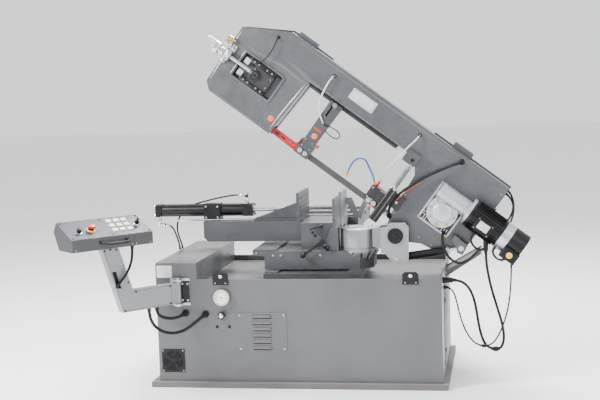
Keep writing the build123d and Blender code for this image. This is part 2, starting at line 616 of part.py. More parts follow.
with BuildPart() as vise_hoses:
    route([
        (-399.5, 95, 1018), (-440, 105, 1019), (-490, 120, 1012), (-540, 136, 1003), (-590, 146, 992),
        (-640, 150, 980), (-690, 152, 968), (-736, 152, 950), (-778, 152, 922), (-808, 152, 886),
        (-822, 150, 844), (-822, 146, 802), (-810, 140, 762), (-794, 134, 726), (-790, 133, 697),
    ], 10)
    route([
        (-879.5, 92, 847), (-858, 92, 844), (-838, 92, 832), (-824, 91, 810), (-814, 90, 784),
        (-804, 88, 756), (-796, 87, 728), (-793, 86.5, 697),
    ], 10)
save(vise_hoses, "vise_hoses")

def on_arm(along, z, out):
    """Point beside the pendant arm in the row frame."""
    return (hinge_x + along * ax + out * nx, hinge_y + along * ay + out * ny, z)


with BuildPart() as pendant_cables:
    route([on_arm(*p) for p in (
        (306, 837, 38), (309, 804, 40), (315, 770, 44), (326, 738, 46), (342, 708, 46), (362, 680, 44),
        (382, 656, 38), (396, 636, 26), (402, 624, 15),
    )], 15)
    route([
        (-745, -601, 478.5), (-745, -600, 450), (-736, -589, 426), (-714, -568, 410), (-688, -548, 402),
        (-662, -532, 402), (-640, -520, 408), (-625, -504, 415), (-621, -487, 416),
    ], 18)
    route([
        (-777, -639, 478.5), (-776, -638, 440), (-768, -630, 400), (-750, -612, 364), (-720, -588, 336),
        (-682, -564, 322), (-642, -548, 324), (-604, -538, 338), (-570, -532, 360), (-540, -526, 384),
        (-516, -510, 404), (-507, -488, 409),
    ], 18)
save(pendant_cables, "pendant_cables")

with BuildPart() as guide_hose:
    route(in_bow([
        (-794, 517, 193), (-796, 512, 206), (-799, 496, 213), (-799, 468, 215), (-795, 430, 215),
        (-788, 388, 215),
        (-774, 346, 215), (-752, 312, 215), (-724, 287, 214), (-696, 269, 212),
    ]), 9)
    route(in_bow([
        (-684, 262, 212), (-661, 271, 212), (-634, 277, 212), (-608, 279, 212), (-586, 275, 212),
        (-573, 263, 212),
        (-574, 247, 212), (-588, 237, 212), (-610, 233, 212), (-636, 235, 212), (-662, 241, 212),
    ]), 6)
save(guide_hose, "guide_hose")

with BuildPart() as bow_lines:
    route(in_bow([
        (-1177, 512, 190), (-1177, 508, 204), (-1173, 492, 214), (-1165, 460, 218), (-1161, 424, 220),
        (-1163, 388, 222), (-1170, 358, 221), (-1180, 338, 214), (-1186, 330, 204),
    ]), 7)
    route(in_bow([
        (56, 540, 190), (48, 530, 212), (30, 506, 226), (6, 470, 230), (-22, 424, 228), (-52, 370, 226),
        (-78, 314, 226), (-100, 260, 230), (-118, 206, 236), (-124, 158, 240), (-122, 122, 238),
        (-114, 92, 226),
        (-102, 72, 208), (-92, 60, 190),
    ]), 16)
    route(in_bow([
        (-217, 526, 190), (-217, 518, 206), (-219, 494, 216), (-225, 462, 230), (-232, 430, 240),
        (-236, 392, 243),
        (-240, 352, 240), (-247, 312, 228), (-254, 276, 210), (-256, 242, 190), (-254, 212, 170),
        (-250, 185, 158),
    ]), 9)
    route(in_bow([
        (-262, 150, 152), (-284, 172, 144), (-312, 190, 124), (-342, 204, 120), (-370, 222, 119),
        (-396, 231, 120),
        (-420, 219, 120), (-434, 195, 121), (-438, 166, 122), (-434, 138, 124), (-428, 114, 126),
    ]), 11)
    route(in_bow([
        (204, 168, 210), (206, 156, 230), (218, 136, 246), (242, 112, 258), (272, 92, 266), (306, 80, 270),
        (342, 78, 273), (374, 90, 276), (392, 114, 279), (402, 146, 282), (408, 182, 284), (412, 222, 284),
    ]), 15)
    route(in_bow([
        (332, 270, 284), (334, 250, 286), (344, 230, 290), (364, 217, 296), (390, 212, 302), (416, 216, 300),
        (430, 232, 290),
    ]), 12)
    route(in_bow([
        (470, 273, 300), (472, 256, 303), (484, 242, 310), (504, 236, 320), (524, 238, 332), (538, 248, 342),
        (544, 262, 348),
    ]), 12)
    route(in_bow([
        (352, 554, 130), (376, 550, 134), (404, 534, 146), (430, 508, 166), (450, 474, 194), (460, 442, 226),
        (462, 426, 248),
    ]), 11)
    route(in_bow([
        (352, 534, 112), (378, 532, 114), (408, 522, 120), (434, 498, 134), (446, 464, 158), (448, 434, 190),
        (446, 418, 222),
    ]), 11)
save(bow_lines, "bow_lines")

with BuildPart() as cable_lower:
    route([
        (846.5, -300, 569), (880, -300, 567), (912, -300, 552), (938, -300, 524), (956, -300, 486),
        (968, -300, 442), (976, -300, 396), (982, -299, 348), (990, -298, 300), (1001, -297, 255),
        (1018, -296, 214), (1046, -295, 190), (1072, -295, 185),
    ], 16)
    route([
        (812.5, -232, 518), (836, -238, 510), (854, -246, 486), (866, -258, 446), (876, -270, 402),
        (888, -284, 356), (904, -296, 312), (924, -306, 270), (950, -314, 236), (980, -319, 214),
        (1010, -322, 209),
    ], 9)
save(cable_lower, "cable_lower")

with BuildPart() as cable_upper:
    route([
        (1075, -295, 185), (1100, -294, 189), (1116, -292, 214), (1122, -290, 256), (1116, -289, 306),
        (1104, -288, 358), (1088, -287, 412), (1072, -286, 468), (1056, -286, 526), (1044, -285, 584),
        (1035, -285, 640), (1031, -284, 690), (1030.4, -284, 731),
    ], 16)
    ring(Plane(origin=(1075, -295, 185), z_dir=(25, 1, 4)), 0, 0, 13, 8, 11)
    route([
        (1012.5, -322, 209), (1042, -325, 212), (1072, -329, 236), (1098, -333, 280), (1120, -337, 334),
        (1138, -341, 392), (1151, -344, 454), (1159, -347, 518), (1163, -349, 580), (1165, -350, 630),
        (1166, -350, 659.5),
    ], 9)
save(cable_upper, "cable_upper")

with BuildPart() as cable_glands:
    for x, z in ((-621, 416), (-507, 410)):
        disc(FRONT.offset(-cab_y0), x, z, 17, 20)
    disc(SIDE.offset(cab_x1), -300, 569, 15, 50)
    disc(SIDE.offset(cab_x1), -232, 518, 9, 16)
save(cable_glands, "cable_glands")
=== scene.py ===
"""Looks of a horizontal band saw with a raised bow, a cabinet base and a control pendant."""

import json
import math

import bmesh
import bpy
from mathutils import Matrix, Vector


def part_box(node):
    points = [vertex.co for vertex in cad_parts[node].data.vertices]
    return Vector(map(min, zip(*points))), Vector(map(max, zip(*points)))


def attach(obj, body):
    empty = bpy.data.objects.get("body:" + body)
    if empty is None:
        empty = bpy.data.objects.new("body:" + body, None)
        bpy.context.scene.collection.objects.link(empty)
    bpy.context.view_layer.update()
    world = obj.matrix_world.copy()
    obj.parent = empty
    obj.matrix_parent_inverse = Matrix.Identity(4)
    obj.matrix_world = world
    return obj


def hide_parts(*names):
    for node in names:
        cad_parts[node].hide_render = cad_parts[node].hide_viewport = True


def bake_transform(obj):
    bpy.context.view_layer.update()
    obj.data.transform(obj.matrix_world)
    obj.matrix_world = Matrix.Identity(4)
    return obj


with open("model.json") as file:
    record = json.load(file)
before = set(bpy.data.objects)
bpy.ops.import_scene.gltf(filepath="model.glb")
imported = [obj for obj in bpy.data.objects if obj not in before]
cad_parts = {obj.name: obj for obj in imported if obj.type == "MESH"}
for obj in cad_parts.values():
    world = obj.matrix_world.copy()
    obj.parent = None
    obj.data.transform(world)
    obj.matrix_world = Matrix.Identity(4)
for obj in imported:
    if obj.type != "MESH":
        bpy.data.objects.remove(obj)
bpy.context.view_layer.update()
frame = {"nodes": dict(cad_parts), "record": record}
nodes = frame["nodes"]
joints = {j["name"]: j for j in frame["record"]["behaviour"]["joints"]}
MM = 0.001
WORLD = Matrix.Identity(4)
X, Y, Z = Vector((1, 0, 0)), Vector((0, 1, 0)), Vector((0, 0, 1))


# ---- frames: each maps millimetres of a local plane to the row frame
def axes(origin, a, b, n):
    m = Matrix((a, b, n)).transposed().to_4x4()
    m.translation = origin
    return m @ Matrix.Scale(MM, 4)


pivot = Vector(joints["bow_pivot"]["pos_m"])
pivot.y = 0
e1 = Vector(joints["guide_arm_slide"]["axis"]).normalized()
e2 = e1.cross(Y)
bow_frame4 = axes(pivot, e1, e2, -Y)
face_n = Vector(joints["selector_turn"]["axis"]).normalized()
across = Z.cross(face_n).normalized()
up_face = face_n.cross(across)
# the panel's corner, counted back from the middle of the first button
button_x, button_y, button_rise = 292, 138, 0.75
lo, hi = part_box("button_1")
to_button = across * button_x + up_face * button_y + face_n * button_rise
panel4 = axes((lo + hi) / 2 - to_button * MM, across, up_face, face_n)
hinge = Vector(joints["pendant_swing"]["pos_m"])
hinge.z = 0
arm_out = Vector((face_n.x, face_n.y, 0)).normalized()
arm4 = axes(hinge, -across, Z, arm_out)


def bow(x, y, h):
    return bow_frame4 @ Vector((x, y, h))


def at(base, x, y, h=0, turn=0):
    return base @ Matrix.Translation((x, y, h)) @ Matrix.Rotation(math.radians(turn), 4, "Z")


def facing(direction, x, y, z, turn=0):
    """Frame whose normal points along one of the row axes, at a point in millimetres."""
    pairs = {"-Y": (X, Z, -Y), "+Y": (-X, Z, Y), "+X": (Y, Z, X), "-X": (-Y, Z, -X), "+Z": (X, Y, Z)}
    a, b, n = pairs[direction]
    return axes(Vector((x, y, z)) * MM, a, b, n) @ Matrix.Rotation(math.radians(turn), 4, "Z")


def along(p, d):
    """Frame at a point of the row frame, in metres, whose normal is a direction."""
    d = Vector(d).normalized()
    a = d.orthogonal().normalized()
    return axes(p, a, d.cross(a), d)


def corners(name):
    """Low and high corner of a node's box, in millimetres."""
    return tuple(Vector(v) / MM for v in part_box(name))


def middle(name):
    lo, hi = corners(name)
    return (lo + hi) / 2


def joint_at(name):
    """A joint's place, in millimetres."""
    return Vector(joints[name]["pos_m"]) / MM


cabinet_lo, cabinet_hi = corners("cabinet")
bed_hi = corners("bed")[1]
bracket_hi = corners("pendant_bracket")[1]
front, back = cabinet_lo.y, cabinet_hi.y
gauge, gauge_front = middle("pressure_gauge"), corners("pressure_gauge")[0].y
fan, fan_front = middle("fan_grille"), corners("fan_grille")[0].y
gauge4 = facing("-Y", gauge.x, gauge_front, gauge.z)
fan4 = facing("-Y", fan.x, front, fan.z)
louvre_lo, louvre_hi = corners("louvre_panel")
plates_lo, plates_hi = corners("corner_brackets")
valve = joint_at("valve_turn")
vise_lo, vise_hi = corners("vise_cylinder")
vise_y, vise_z = (vise_lo.y + vise_hi.y) / 2, vise_lo.z + 96
jaw_plate, moving_plate = corners("rear_jaw")[0], corners("vise_jaw")[1]
swivel, lift_pin, tip = joint_at("head_swivel"), joint_at("lift_tilt"), joint_at("bow_pivot")
turntable_lo = corners("turntable")[0]


def place(base, x, y, h=0):
    """Point of the row frame, in metres, at millimetres of a local frame."""
    return base @ Vector((x, y, h))


def corner_of(name, base=bow_frame4):
    """Local frame moved to the low corner of a node."""
    inside = base.inverted()
    points = [inside @ v.co for v in nodes[name].data.vertices]
    return at(base, *(min(p[i] for p in points) for i in range(3)))


slide4, screw4 = corner_of("tension_slide"), corner_of("tension_screw")
guide4, guard4, right4 = corner_of("left_guide_arm"), corner_of("blade_guard"), corner_of("right_guide_arm")
gear4 = corner_of("gearbox")
in_bow = bow_frame4.inverted()
motor_x, rotor = (in_bow @ corner_of("motor").translation).x, in_bow @ Vector(joints["rotor_spin"]["pos_m"])
motor4 = at(bow_frame4, motor_x, rotor.y, rotor.z)
skin4 = corner_of("bow_frame")
# the front face of the frame, where the gearbox stands
skin4 = at(skin4, 0, 0, (skin4.inverted() @ gear4.translation).z)


# ---- materials
def material(name, color, rough, metal=0.0, vary=0.12, grain=300, bump=0.08, spots=0.0, wear=0.0,
             brushed=None, coat=0.0, dirt=0.0, split=None, sheen=0.5):
    """Surface with colour drift, fine grain, worn edges and settled dust, all worked out in the row frame."""
    m = bpy.data.materials.new(name)
    m.use_nodes = True
    t = m.node_tree
    n, link = t.nodes, t.links.new
    n.clear()
    out = n.new("ShaderNodeOutputMaterial")
    shade = n.new("ShaderNodeBsdfPrincipled")
    link(shade.outputs[0], out.inputs[0])
    shade.inputs["Metallic"].default_value = metal
    shade.inputs["Coat Weight"].default_value = coat
    shade.inputs["Specular IOR Level"].default_value = sheen
    shade.inputs["Coat Roughness"].default_value = 0.2
    where = n.new("ShaderNodeTexCoord").outputs["Object"]

    def noise(scale, detail, stretch=None):
        tex = n.new("ShaderNodeTexNoise")
        tex.inputs["Scale"].default_value = scale
        tex.inputs["Detail"].default_value = detail
        source = where
        if stretch:
            mapping = n.new("ShaderNodeMapping")
            mapping.inputs["Scale"].default_value = stretch
            link(where, mapping.inputs[0])
            source = mapping.outputs[0]
        link(source, tex.inputs["Vector"])
        return tex.outputs["Fac"]

    def mix(fac, a, b):
        node = n.new("ShaderNodeMix")
        node.data_type = "RGBA"
        link(fac, node.inputs[0])
        for socket, value in ((node.inputs[6], a), (node.inputs[7], b)):
            if hasattr(value, "links"):
                link(value, socket)
            else:
                socket.default_value = (*value, 1)
        return node.outputs[2]

    def ramp(value, a, b, low=0.0, high=1.0):
        node = n.new("ShaderNodeMapRange")
        link(value, node.inputs[0])
        for i, v in enumerate((a, b, low, high)):
            node.inputs[i + 1].default_value = v
        return node.outputs[0]

    dark = tuple(v * (1 - vary) for v in color)
    light = tuple(min(1, v * (1 + vary)) for v in color)
    base = mix(ramp(noise(3.1, 6), 0.35, 0.65), dark, light)
    fine = noise(grain, 3, brushed)
    base = mix(ramp(fine, 0.42, 0.62, 0, 0.35), base, tuple(v * 0.82 for v in color))
    if spots:
        base = mix(ramp(noise(46, 2), 0.66, 0.72, 0, spots), base, tuple(v * 0.55 for v in color))
    if split:
        side = n.new("ShaderNodeVectorMath")
        side.operation = "DOT_PRODUCT"
        link(where, side.inputs[0])
        side.inputs[1].default_value = split[0]
        base = mix(ramp(side.outputs["Value"], split[1], split[1] + 0.0005), base, split[2])
    if dirt:
        shape = n.new("ShaderNodeNewGeometry")
        parts = n.new("ShaderNodeSeparateXYZ")
        link(shape.outputs["Normal"], parts.inputs[0])
        top = ramp(parts.outputs["Z"], 0.6, 1.0, 0, dirt)
        base = mix(top, base, (0.36, 0.34, 0.31))
    if wear:
        edge = n.new("ShaderNodeBevel")
        edge.samples = 4
        edge.inputs["Radius"].default_value = 0.0022
        shape2 = n.new("ShaderNodeNewGeometry")
        dot = n.new("ShaderNodeVectorMath")
        dot.operation = "DOT_PRODUCT"
        link(edge.outputs[0], dot.inputs[0])
        link(shape2.outputs["Normal"], dot.inputs[1])
        patch = n.new("ShaderNodeMath")
        patch.operation = "MULTIPLY"
        link(ramp(dot.outputs["Value"], 0.985, 0.86), patch.inputs[0])
        link(ramp(noise(38, 4), 0.46, 0.66, 0, wear), patch.inputs[1])
        base = mix(patch.outputs[0], base, (0.5, 0.49, 0.47))
    link(base, shade.inputs["Base Color"])
    link(ramp(noise(17, 5), 0.3, 0.7, max(0.04, rough - 0.09), min(1, rough + 0.09)),
        shade.inputs["Roughness"])
    if bump:
        b = n.new("ShaderNodeBump")
        b.inputs["Strength"].default_value = bump
        b.inputs["Distance"].default_value = 0.0006
        link(fine, b.inputs["Height"])
        link(b.outputs[0], shade.inputs["Normal"])
    return m


BOW_PAINT = material("bow_paint", (0.100, 0.103, 0.112), 0.33, metal=0.55, vary=0.12, grain=420, bump=0.05,
    wear=0.35, dirt=0.06, coat=0.15)
CABINET = material("cabinet_paint", (0.105, 0.106, 0.112), 0.40, metal=0.42, vary=0.08, grain=520,
    bump=0.10, wear=0.3, dirt=0.10)
CAST_PAINT = material("cast_paint", (0.078, 0.081, 0.088), 0.36, metal=0.55, vary=0.16, grain=170,
    bump=0.22, spots=0.3, wear=0.6, dirt=0.08)
PLINTH = material("plinth_paint", (0.105, 0.098, 0.092), 0.62, vary=0.2, grain=240, bump=0.2, spots=0.5,
    wear=0.4, dirt=0.3)
PENDANT = material("pendant_paint", (0.046, 0.047, 0.053), 0.38, metal=0.3, vary=0.08, grain=600, bump=0.12,
    wear=0.3, coat=0.1)
ARM_PAINT = material("arm_paint", (0.22, 0.225, 0.24), 0.42, metal=0.35, vary=0.06, grain=500, bump=0.08,
    wear=0.3)
ALLOY = material("cast_alloy", (0.50, 0.52, 0.55), 0.42, metal=0.8, vary=0.10, grain=230, bump=0.25,
    spots=0.2)
TURNED = material("turned_alloy", (0.60, 0.61, 0.63), 0.30, metal=0.95, vary=0.08, bump=0.05,
                        brushed=(1, 1, 14))
PIVOT_PLATE = material("pivot_plate", (0.30, 0.31, 0.33), 0.38, metal=0.6, vary=0.10, grain=230, bump=0.12,
    spots=0.15, wear=0.3)
STEEL = material("steel", (0.42, 0.42, 0.44), 0.30, metal=1.0, vary=0.12, bump=0.06,
    brushed=(1, 12, 1), spots=0.1)
ROLLER = material("roller_steel", (0.075, 0.075, 0.080), 0.36, metal=0.8, vary=0.2, grain=260, bump=0.08,
                  brushed=(18, 1, 1), spots=0.25)
CHROME = material("chrome", (0.70, 0.71, 0.73), 0.12, metal=1.0, vary=0.04, bump=0.01)
IRON = material("ground_iron", (0.080, 0.083, 0.090), 0.38, metal=0.8, vary=0.2, grain=210, bump=0.15,
                brushed=(1, 1, 9), spots=0.35, wear=0.6)
BRIGHT_IRON = material("bright_jaw", (0.26, 0.27, 0.29), 0.34, metal=0.85, vary=0.12, grain=210, bump=0.1,
                       brushed=(1, 1, 9), spots=0.2, wear=0.5)
DARK_STEEL = material("oiled_steel", (0.060, 0.059, 0.062), 0.34, metal=0.8, vary=0.25, grain=260, bump=0.08,
                      brushed=(9, 1, 1), spots=0.3)
BLADE = material("blade_steel", (0.115, 0.112, 0.112), 0.33, metal=1.0, vary=0.25, grain=260, bump=0.04,
                 brushed=(14, 14, 1), spots=0.3)
ENAMEL = material("black_paint", (0.005, 0.005, 0.006), 0.36, vary=0.3, bump=0.18, sheen=0.28)
BLACK = material("black_plastic", (0.006, 0.006, 0.007), 0.44, vary=0.2, grain=700, bump=0.12, sheen=0.28)
RUBBER = material("cable_sheath", (0.006, 0.006, 0.007), 0.5, vary=0.25, grain=420, bump=0.18, sheen=0.25)
PALE_HOSE = material("pale_hose", (0.55, 0.57, 0.58), 0.28, vary=0.08, grain=420, bump=0.06, coat=0.3)
BLUE_HOSE = material("blue_segments", (0.012, 0.030, 0.26), 0.38, vary=0.12, grain=420, bump=0.05, coat=0.3)
ORANGE = material("orange_plastic", (0.78, 0.12, 0.008), 0.40, vary=0.08, grain=500, bump=0.05)
RED = material("red_plastic", (0.50, 0.002, 0.003), 0.32, vary=0.08, grain=500, bump=0.03, coat=0.3)
RED_PAINT = material("red_guard_paint", (0.36, 0.006, 0.008), 0.36, vary=0.1, bump=0.06, wear=0.5)
YELLOW = material("yellow_plastic", (0.78, 0.44, 0.01), 0.38, vary=0.06, grain=500, bump=0.04)
WHITE = material("white_keys", (0.74, 0.74, 0.71), 0.36, vary=0.05, grain=700, bump=0.06, coat=0.15)
CREAM = material("cream_bezel", (0.56, 0.50, 0.38), 0.34, vary=0.06, grain=500, bump=0.05, coat=0.2)
DIAL = material("dial_card", (0.84, 0.83, 0.80), 0.5, vary=0.03, grain=900, bump=0.02)
BLANK = material("blank_plate", (0.62, 0.63, 0.65), 0.4, metal=0.5, vary=0.06, bump=0.05,
    brushed=(16, 1, 1))
BRASS = material("gold_zinc", (0.62, 0.40, 0.14), 0.28, metal=1.0, vary=0.14, bump=0.04)
SEAM = material("seam_shadow", (0.010, 0.010, 0.011), 0.7, vary=0.2, grain=400, bump=0.1, sheen=0.2)
TAPE = material("red_tape", (0.40, 0.010, 0.010), 0.45, vary=0.1, grain=400, bump=0.06)
FLOOR = material("studio_floor", (0.93, 0.93, 0.93), 0.7, vary=0.012, grain=60, bump=0.01)
GUIDE_BODY = material("guide_body", (0.012, 0.012, 0.013), 0.36, vary=0.25, bump=0.15, coat=0.2,
    wear=0.4, split=(e2, e2.dot(pivot) + 0.340, (0.12, 0.124, 0.135)))

for names, mat in (
    (("bow_frame", "left_cover", "right_cover"), BOW_PAINT),
    (("cabinet", "louvre_panel", "chip_chute", "roller_frame"), CABINET),
    (("bed", "left_guide_arm"), CAST_PAINT), (("right_guide_arm",), GUIDE_BODY),
    (("base_plate",), PLINTH), (("pendant_box",), PENDANT), (("pendant_arm",), ARM_PAINT),
    (("gearbox", "pendant_bracket"), ALLOY), (("turntable",), PIVOT_PLATE),
    (("tension_screw",), TURNED),
    (("roller_1", "roller_2", "roller_3"), ROLLER), (("pivot_shaft",), STEEL),
    (("vise_rod", "lift_rod"), CHROME),
    (("front_jaw", "vise_jaw", "idler_wheel", "drive_wheel"), IRON), (("rear_jaw",), BRIGHT_IRON),
    (("arm_rail", "tension_slide"), DARK_STEEL), (("blade",), BLADE),
    (("lift_barrel", "motor", "corner_brackets", "vise_cylinder"), ENAMEL),
    (("fan_grille", "motor_rotor", "selector_knob", "key_switch", "clamp_lever"), BLACK),
    (("cable_glands", "valve_knob"), BLACK),
    (("pressure_gauge",), CREAM), (("blade_guard",), RED_PAINT), (("e_stop",), RED),
    (tuple(f"button_{i}" for i in range(1, 10)), WHITE),
):
    for name in names:
        o = nodes[name]
        o.data.materials.clear()
        o.data.materials.append(mat)

EDGE_WIDTHS = {4: ("bed",), 3: ("bow_frame",), 2.5: ("cabinet", "pendant_box"),
    2: ("left_cover", "right_cover", "base_plate", "pendant_arm", "gearbox", "turntable", "left_guide_arm"),
    1.5: ("rear_jaw", "front_jaw", "vise_jaw", "vise_cylinder", "right_guide_arm", "tension_slide",
    "clamp_lever"), 1.2: ("roller_frame",), 1: ("motor", "louvre_panel", "corner_brackets"),
    0.8: ("chip_chute",)}
for width, name in [(width, name) for width, names in EDGE_WIDTHS.items() for name in names]:
    bevel = nodes[name].modifiers.new("edges", "BEVEL")
    bevel.width = width * MM
    bevel.segments = 2
    bevel.limit_method = "ANGLE"
    bevel.angle_limit = math.radians(38)
    bevel.use_clamp_overlap = True
    bevel.harden_normals = False


# ---- shapes in millimetres: each returns (points, faces)
def lathe(profile, sides=32, start=0.0):
    """Turned piece; the profile is (radius, height) pairs from the bottom up."""
    pts, faces, rings = [], [], []
    for r, z in profile:
        if r < 1e-6:
            rings.append([len(pts)])
            pts.append((0, 0, z))
        else:
            rings.append(list(range(len(pts), len(pts) + sides)))
            pts += [(r * math.cos(start + k * math.tau / sides), r * math.sin(start + k * math.tau / sides),
                z) for k in range(sides)]
    for a, b in zip(rings, rings[1:]):
        for k in range(sides):
            i, j = k, (k + 1) % sides
            quad = [a[i % len(a)], a[j % len(a)], b[j % len(b)], b[i % len(b)]]
            face = list(dict.fromkeys(quad))
            if len(face) > 2:
                faces.append(face)
    for ring, flip in ((rings[0], True), (rings[-1], False)):
        if len(ring) > 1:
            faces.append(ring[::-1] if flip else ring)
    return pts, faces


def stack(outline, levels):
    """Outline repeated at heights, each scaled in by an inset; levels are (height, inset)."""
    n = len(outline)
    cx, cy = sum(p[0] for p in outline) / n, sum(p[1] for p in outline) / n
    pts, faces = [], []
    for z, inset in levels:
        for x, y in outline:
            d = max(1e-6, math.hypot(x - cx, y - cy))
            k = (d - inset * 1.2) / d
            pts.append((cx + (x - cx) * k, cy + (y - cy) * k, z))
    for level in range(len(levels) - 1):
        for k in range(n):
            a, b = level * n + k, level * n + (k + 1) % n
            faces.append([a, b, b + n, a + n])
    faces.append(list(range(n))[::-1])
    faces.append([(len(levels) - 1) * n + k for k in range(n)])
    return pts, faces


def plate(w, h, t, corner=3.0, edge=0.6):
    """Flat plate with rounded corners and eased edges, centred, standing on its plane."""
    corner = min(corner, w / 2 - 0.01, h / 2 - 0.01)
    outline = []
    for sx, sy, a0 in ((1, 1, 0), (-1, 1, 90), (-1, -1, 180), (1, -1, 270)):
        for k in range(5):
            a = math.radians(a0 + k * 22.5)
            outline.append((sx * (w / 2 - corner) + corner * math.cos(a),
                sy * (h / 2 - corner) + corner * math.sin(a)))
    return stack(outline, [(0, 0), (t - edge, 0), (t, edge)])


def hexagon(across_flats, height):
    r = across_flats / math.sqrt(3)
    return lathe([(r, 0), (r, height * 0.82), (r * 0.86, height), (0, height)], 6)


def socket_screw(r, height):
    return lathe([(r, 0), (r, height * 0.85), (r * 0.9, height), (r * 0.55, height),
        (r * 0.5, height * 0.35), (0, height * 0.35)], 20)


def rim(outer_w, outer_h, wall, t, corner):
    """Raised rounded frame round a window."""
    pts, faces = [], []
    rings = []
    for inset, z in ((0, 0), (wall * 0.15, t * 0.8), (wall * 0.4, t), (wall * 0.75, t * 0.85), (wall, 0)):
        outline = plate(outer_w - 2 * inset, outer_h - 2 * inset, 1, max(1, corner - inset))[0][:20]
        rings.append(range(len(pts), len(pts) + 20))
        pts += [(x, y, z) for x, y, _ in outline]
    for a, b in zip(rings, rings[1:]):
        faces += [[a[k], a[(k + 1) % 20], b[(k + 1) % 20], b[k]] for k in range(20)]
    return pts, faces


def sweep(path, radius, sides=14, caps=True):
    """Tube along points; radius is a number or a function of the distance along."""
    pts, faces = [], []
    p = [Vector(v) for v in path]
    tangent = [(p[min(i + 1, len(p) - 1)] - p[max(i - 1, 0)]).normalized() for i in range(len(p))]
    side = tangent[0].orthogonal().normalized()
    run = 0.0
    for i, v in enumerate(p):
        if i:
            run += (v - p[i - 1]).length
        side = (side - tangent[i] * side.dot(tangent[i])).normalized()
        other = tangent[i].cross(side)
        r = radius(run) if callable(radius) else radius
        for k in range(sides):
            a = k * math.tau / sides
            pts.append(tuple(v + side * (r * math.cos(a)) + other * (r * math.sin(a))))
    for i in range(len(p) - 1):
        for k in range(sides):
            a, b = i * sides + k, i * sides + (k + 1) % sides
            faces.append([a, b, b + sides, a + sides])
    if caps:
        faces.append(list(range(sides))[::-1])
        faces.append([(len(p) - 1) * sides + k for k in range(sides)])
    return pts, faces


def piece(name, body, mat, *parts, smooth=40):
    """One object made of shapes, each with the frame it stands in, riding on a body."""
    mesh = bpy.data.meshes.new(name)
    bm = bmesh.new()
    for (pts, faces), m in parts:
        verts = [bm.verts.new(m @ Vector(v)) for v in pts]
        for f in faces:
            try:
                bm.faces.new([verts[i] for i in f])
            except ValueError:
                pass
    bmesh.ops.recalc_face_normals(bm, faces=bm.faces)
    for e in bm.edges:
        if len(e.link_faces) == 2:
            e.smooth = e.calc_face_angle(0) < math.radians(smooth)
    for f in bm.faces:
        f.smooth = True
    bm.to_mesh(mesh)
    bm.free()
    mesh.materials.append(mat)
    o = bpy.data.objects.new(name, mesh)
    bpy.context.collection.objects.link(o)
    if body:
        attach(o, body)
    return o


def several(name, body, mat, shape, frames, *more):
    """One object made of the same shape in many places, with any other shapes after it."""
    return piece(name, body, mat, *[(shape, m) for m in frames], *more)


# ---- camera: from the front, a little from the right and above
yaw, pitch, roll = math.radians(9.867), math.radians(5.491), math.radians(-1.826)
camera_data = bpy.data.cameras.new("camera")
camera = bpy.data.objects.new("camera", camera_data)
bpy.context.collection.objects.link(camera)
camera_data.sensor_width = 36
camera_data.lens = 71.07
camera_data.clip_end = 100
camera.matrix_world = (
    Matrix.Translation((1.1380, -6.7533, 1.6513)) @ Matrix.Rotation(yaw, 4, "Z")
    @ Matrix.Rotation(math.pi / 2 - pitch, 4, "X") @ Matrix.Rotation(roll, 4, "Z")
)
bpy.context.scene.camera = camera


# ---- cords
def smooth_line(points):
    """Points of the smooth line that has the route's points as its control points."""
    curve = bpy.data.curves.new("route", "CURVE")
    curve.dimensions = "3D"
    curve.resolution_u = 24
    spline = curve.splines.new("NURBS")
    spline.points.add(len(points) - 1)
    for p, q in zip(spline.points, points):
        p.co = (*q, 1)
    spline.order_u = 3
    spline.use_endpoint_u = True
    o = bpy.data.objects.new("route", curve)
    bpy.context.collection.objects.link(o)
    bpy.context.view_layer.update()
    mesh = bpy.data.meshes.new_from_object(o)
    line = [v.co.copy() for v in mesh.vertices]
    bpy.data.objects.remove(o)
    return line


def even(line, step):
    """The same line with its points a fixed distance apart."""
    total = sum((b - a).length for a, b in zip(line, line[1:]))
    count = max(8, round(total / step))
    wanted, out, run, i = total / count, [line[0]], 0.0, 0
    for a, b in zip(line, line[1:]):
        d = (b - a).length
        while d > 0 and len(out) <= count - 1 and run + d >= wanted * len(out):
            out.append(a.lerp(b, (wanted * len(out) - run) / d))
        run += d
    return out + [line[-1]]


def ribs(radius, pitch, depth):
    return lambda run: radius - depth * (0.5 - 0.5 * math.cos(math.tau * run / pitch))


def beads(radius, pitch):
    return lambda run: radius * (0.74 + 0.26 * abs(math.sin(math.pi * run / pitch)) ** 0.5)


def cord(name, node, body, points, dia, mat, skin="plain", span=None, boot=True):
    """Cable or hose between two fittings, with tapered boots at its ends."""
    r = dia / 2 * MM
    step = {"plain": 0.006, "ribbed": 0.0011, "beads": 0.0012}[skin]
    line = even(smooth_line(points), step)
    radius = {"plain": r, "ribbed": ribs(r, 0.0046, 0.0011), "beads": beads(r, 0.013)}[skin]
    o = piece(name, None, mat, (sweep(line, radius, 14), WORLD), smooth=80)
    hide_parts(node)
    if span:
        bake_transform(o)
    else:
        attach(o, body)
    if boot:
        ends = ((points[0], points[1], "start"), (points[-1], points[-2], "end"))
        for p, q, word in ends:
            owner = body if not span else span[0 if word == "start" else 1]
            d = dia / 2
            shape = lathe([(d * 1.5, -1), (d * 1.55, 3), (d * 1.35, 6), (d * 1.22, 7), (d * 1.28, 9),
                (d * 1.12, 13), (d * 1.16, 15), (d * 1.06, 20), (d * 1.02, 24), (d * 0.9, 24)], 20)
            piece(f"{name}_{word}", owner, BLACK if mat != PALE_HOSE else CHROME,
                  (shape, along(Vector(p), Vector(q) - Vector(p))))
    return o


def mm(points):
    return [Vector(p) * MM for p in points]


def bows(points):
    return [bow(*p) for p in points]


def on_arm(points):
    return [arm4 @ Vector(p) for p in points]


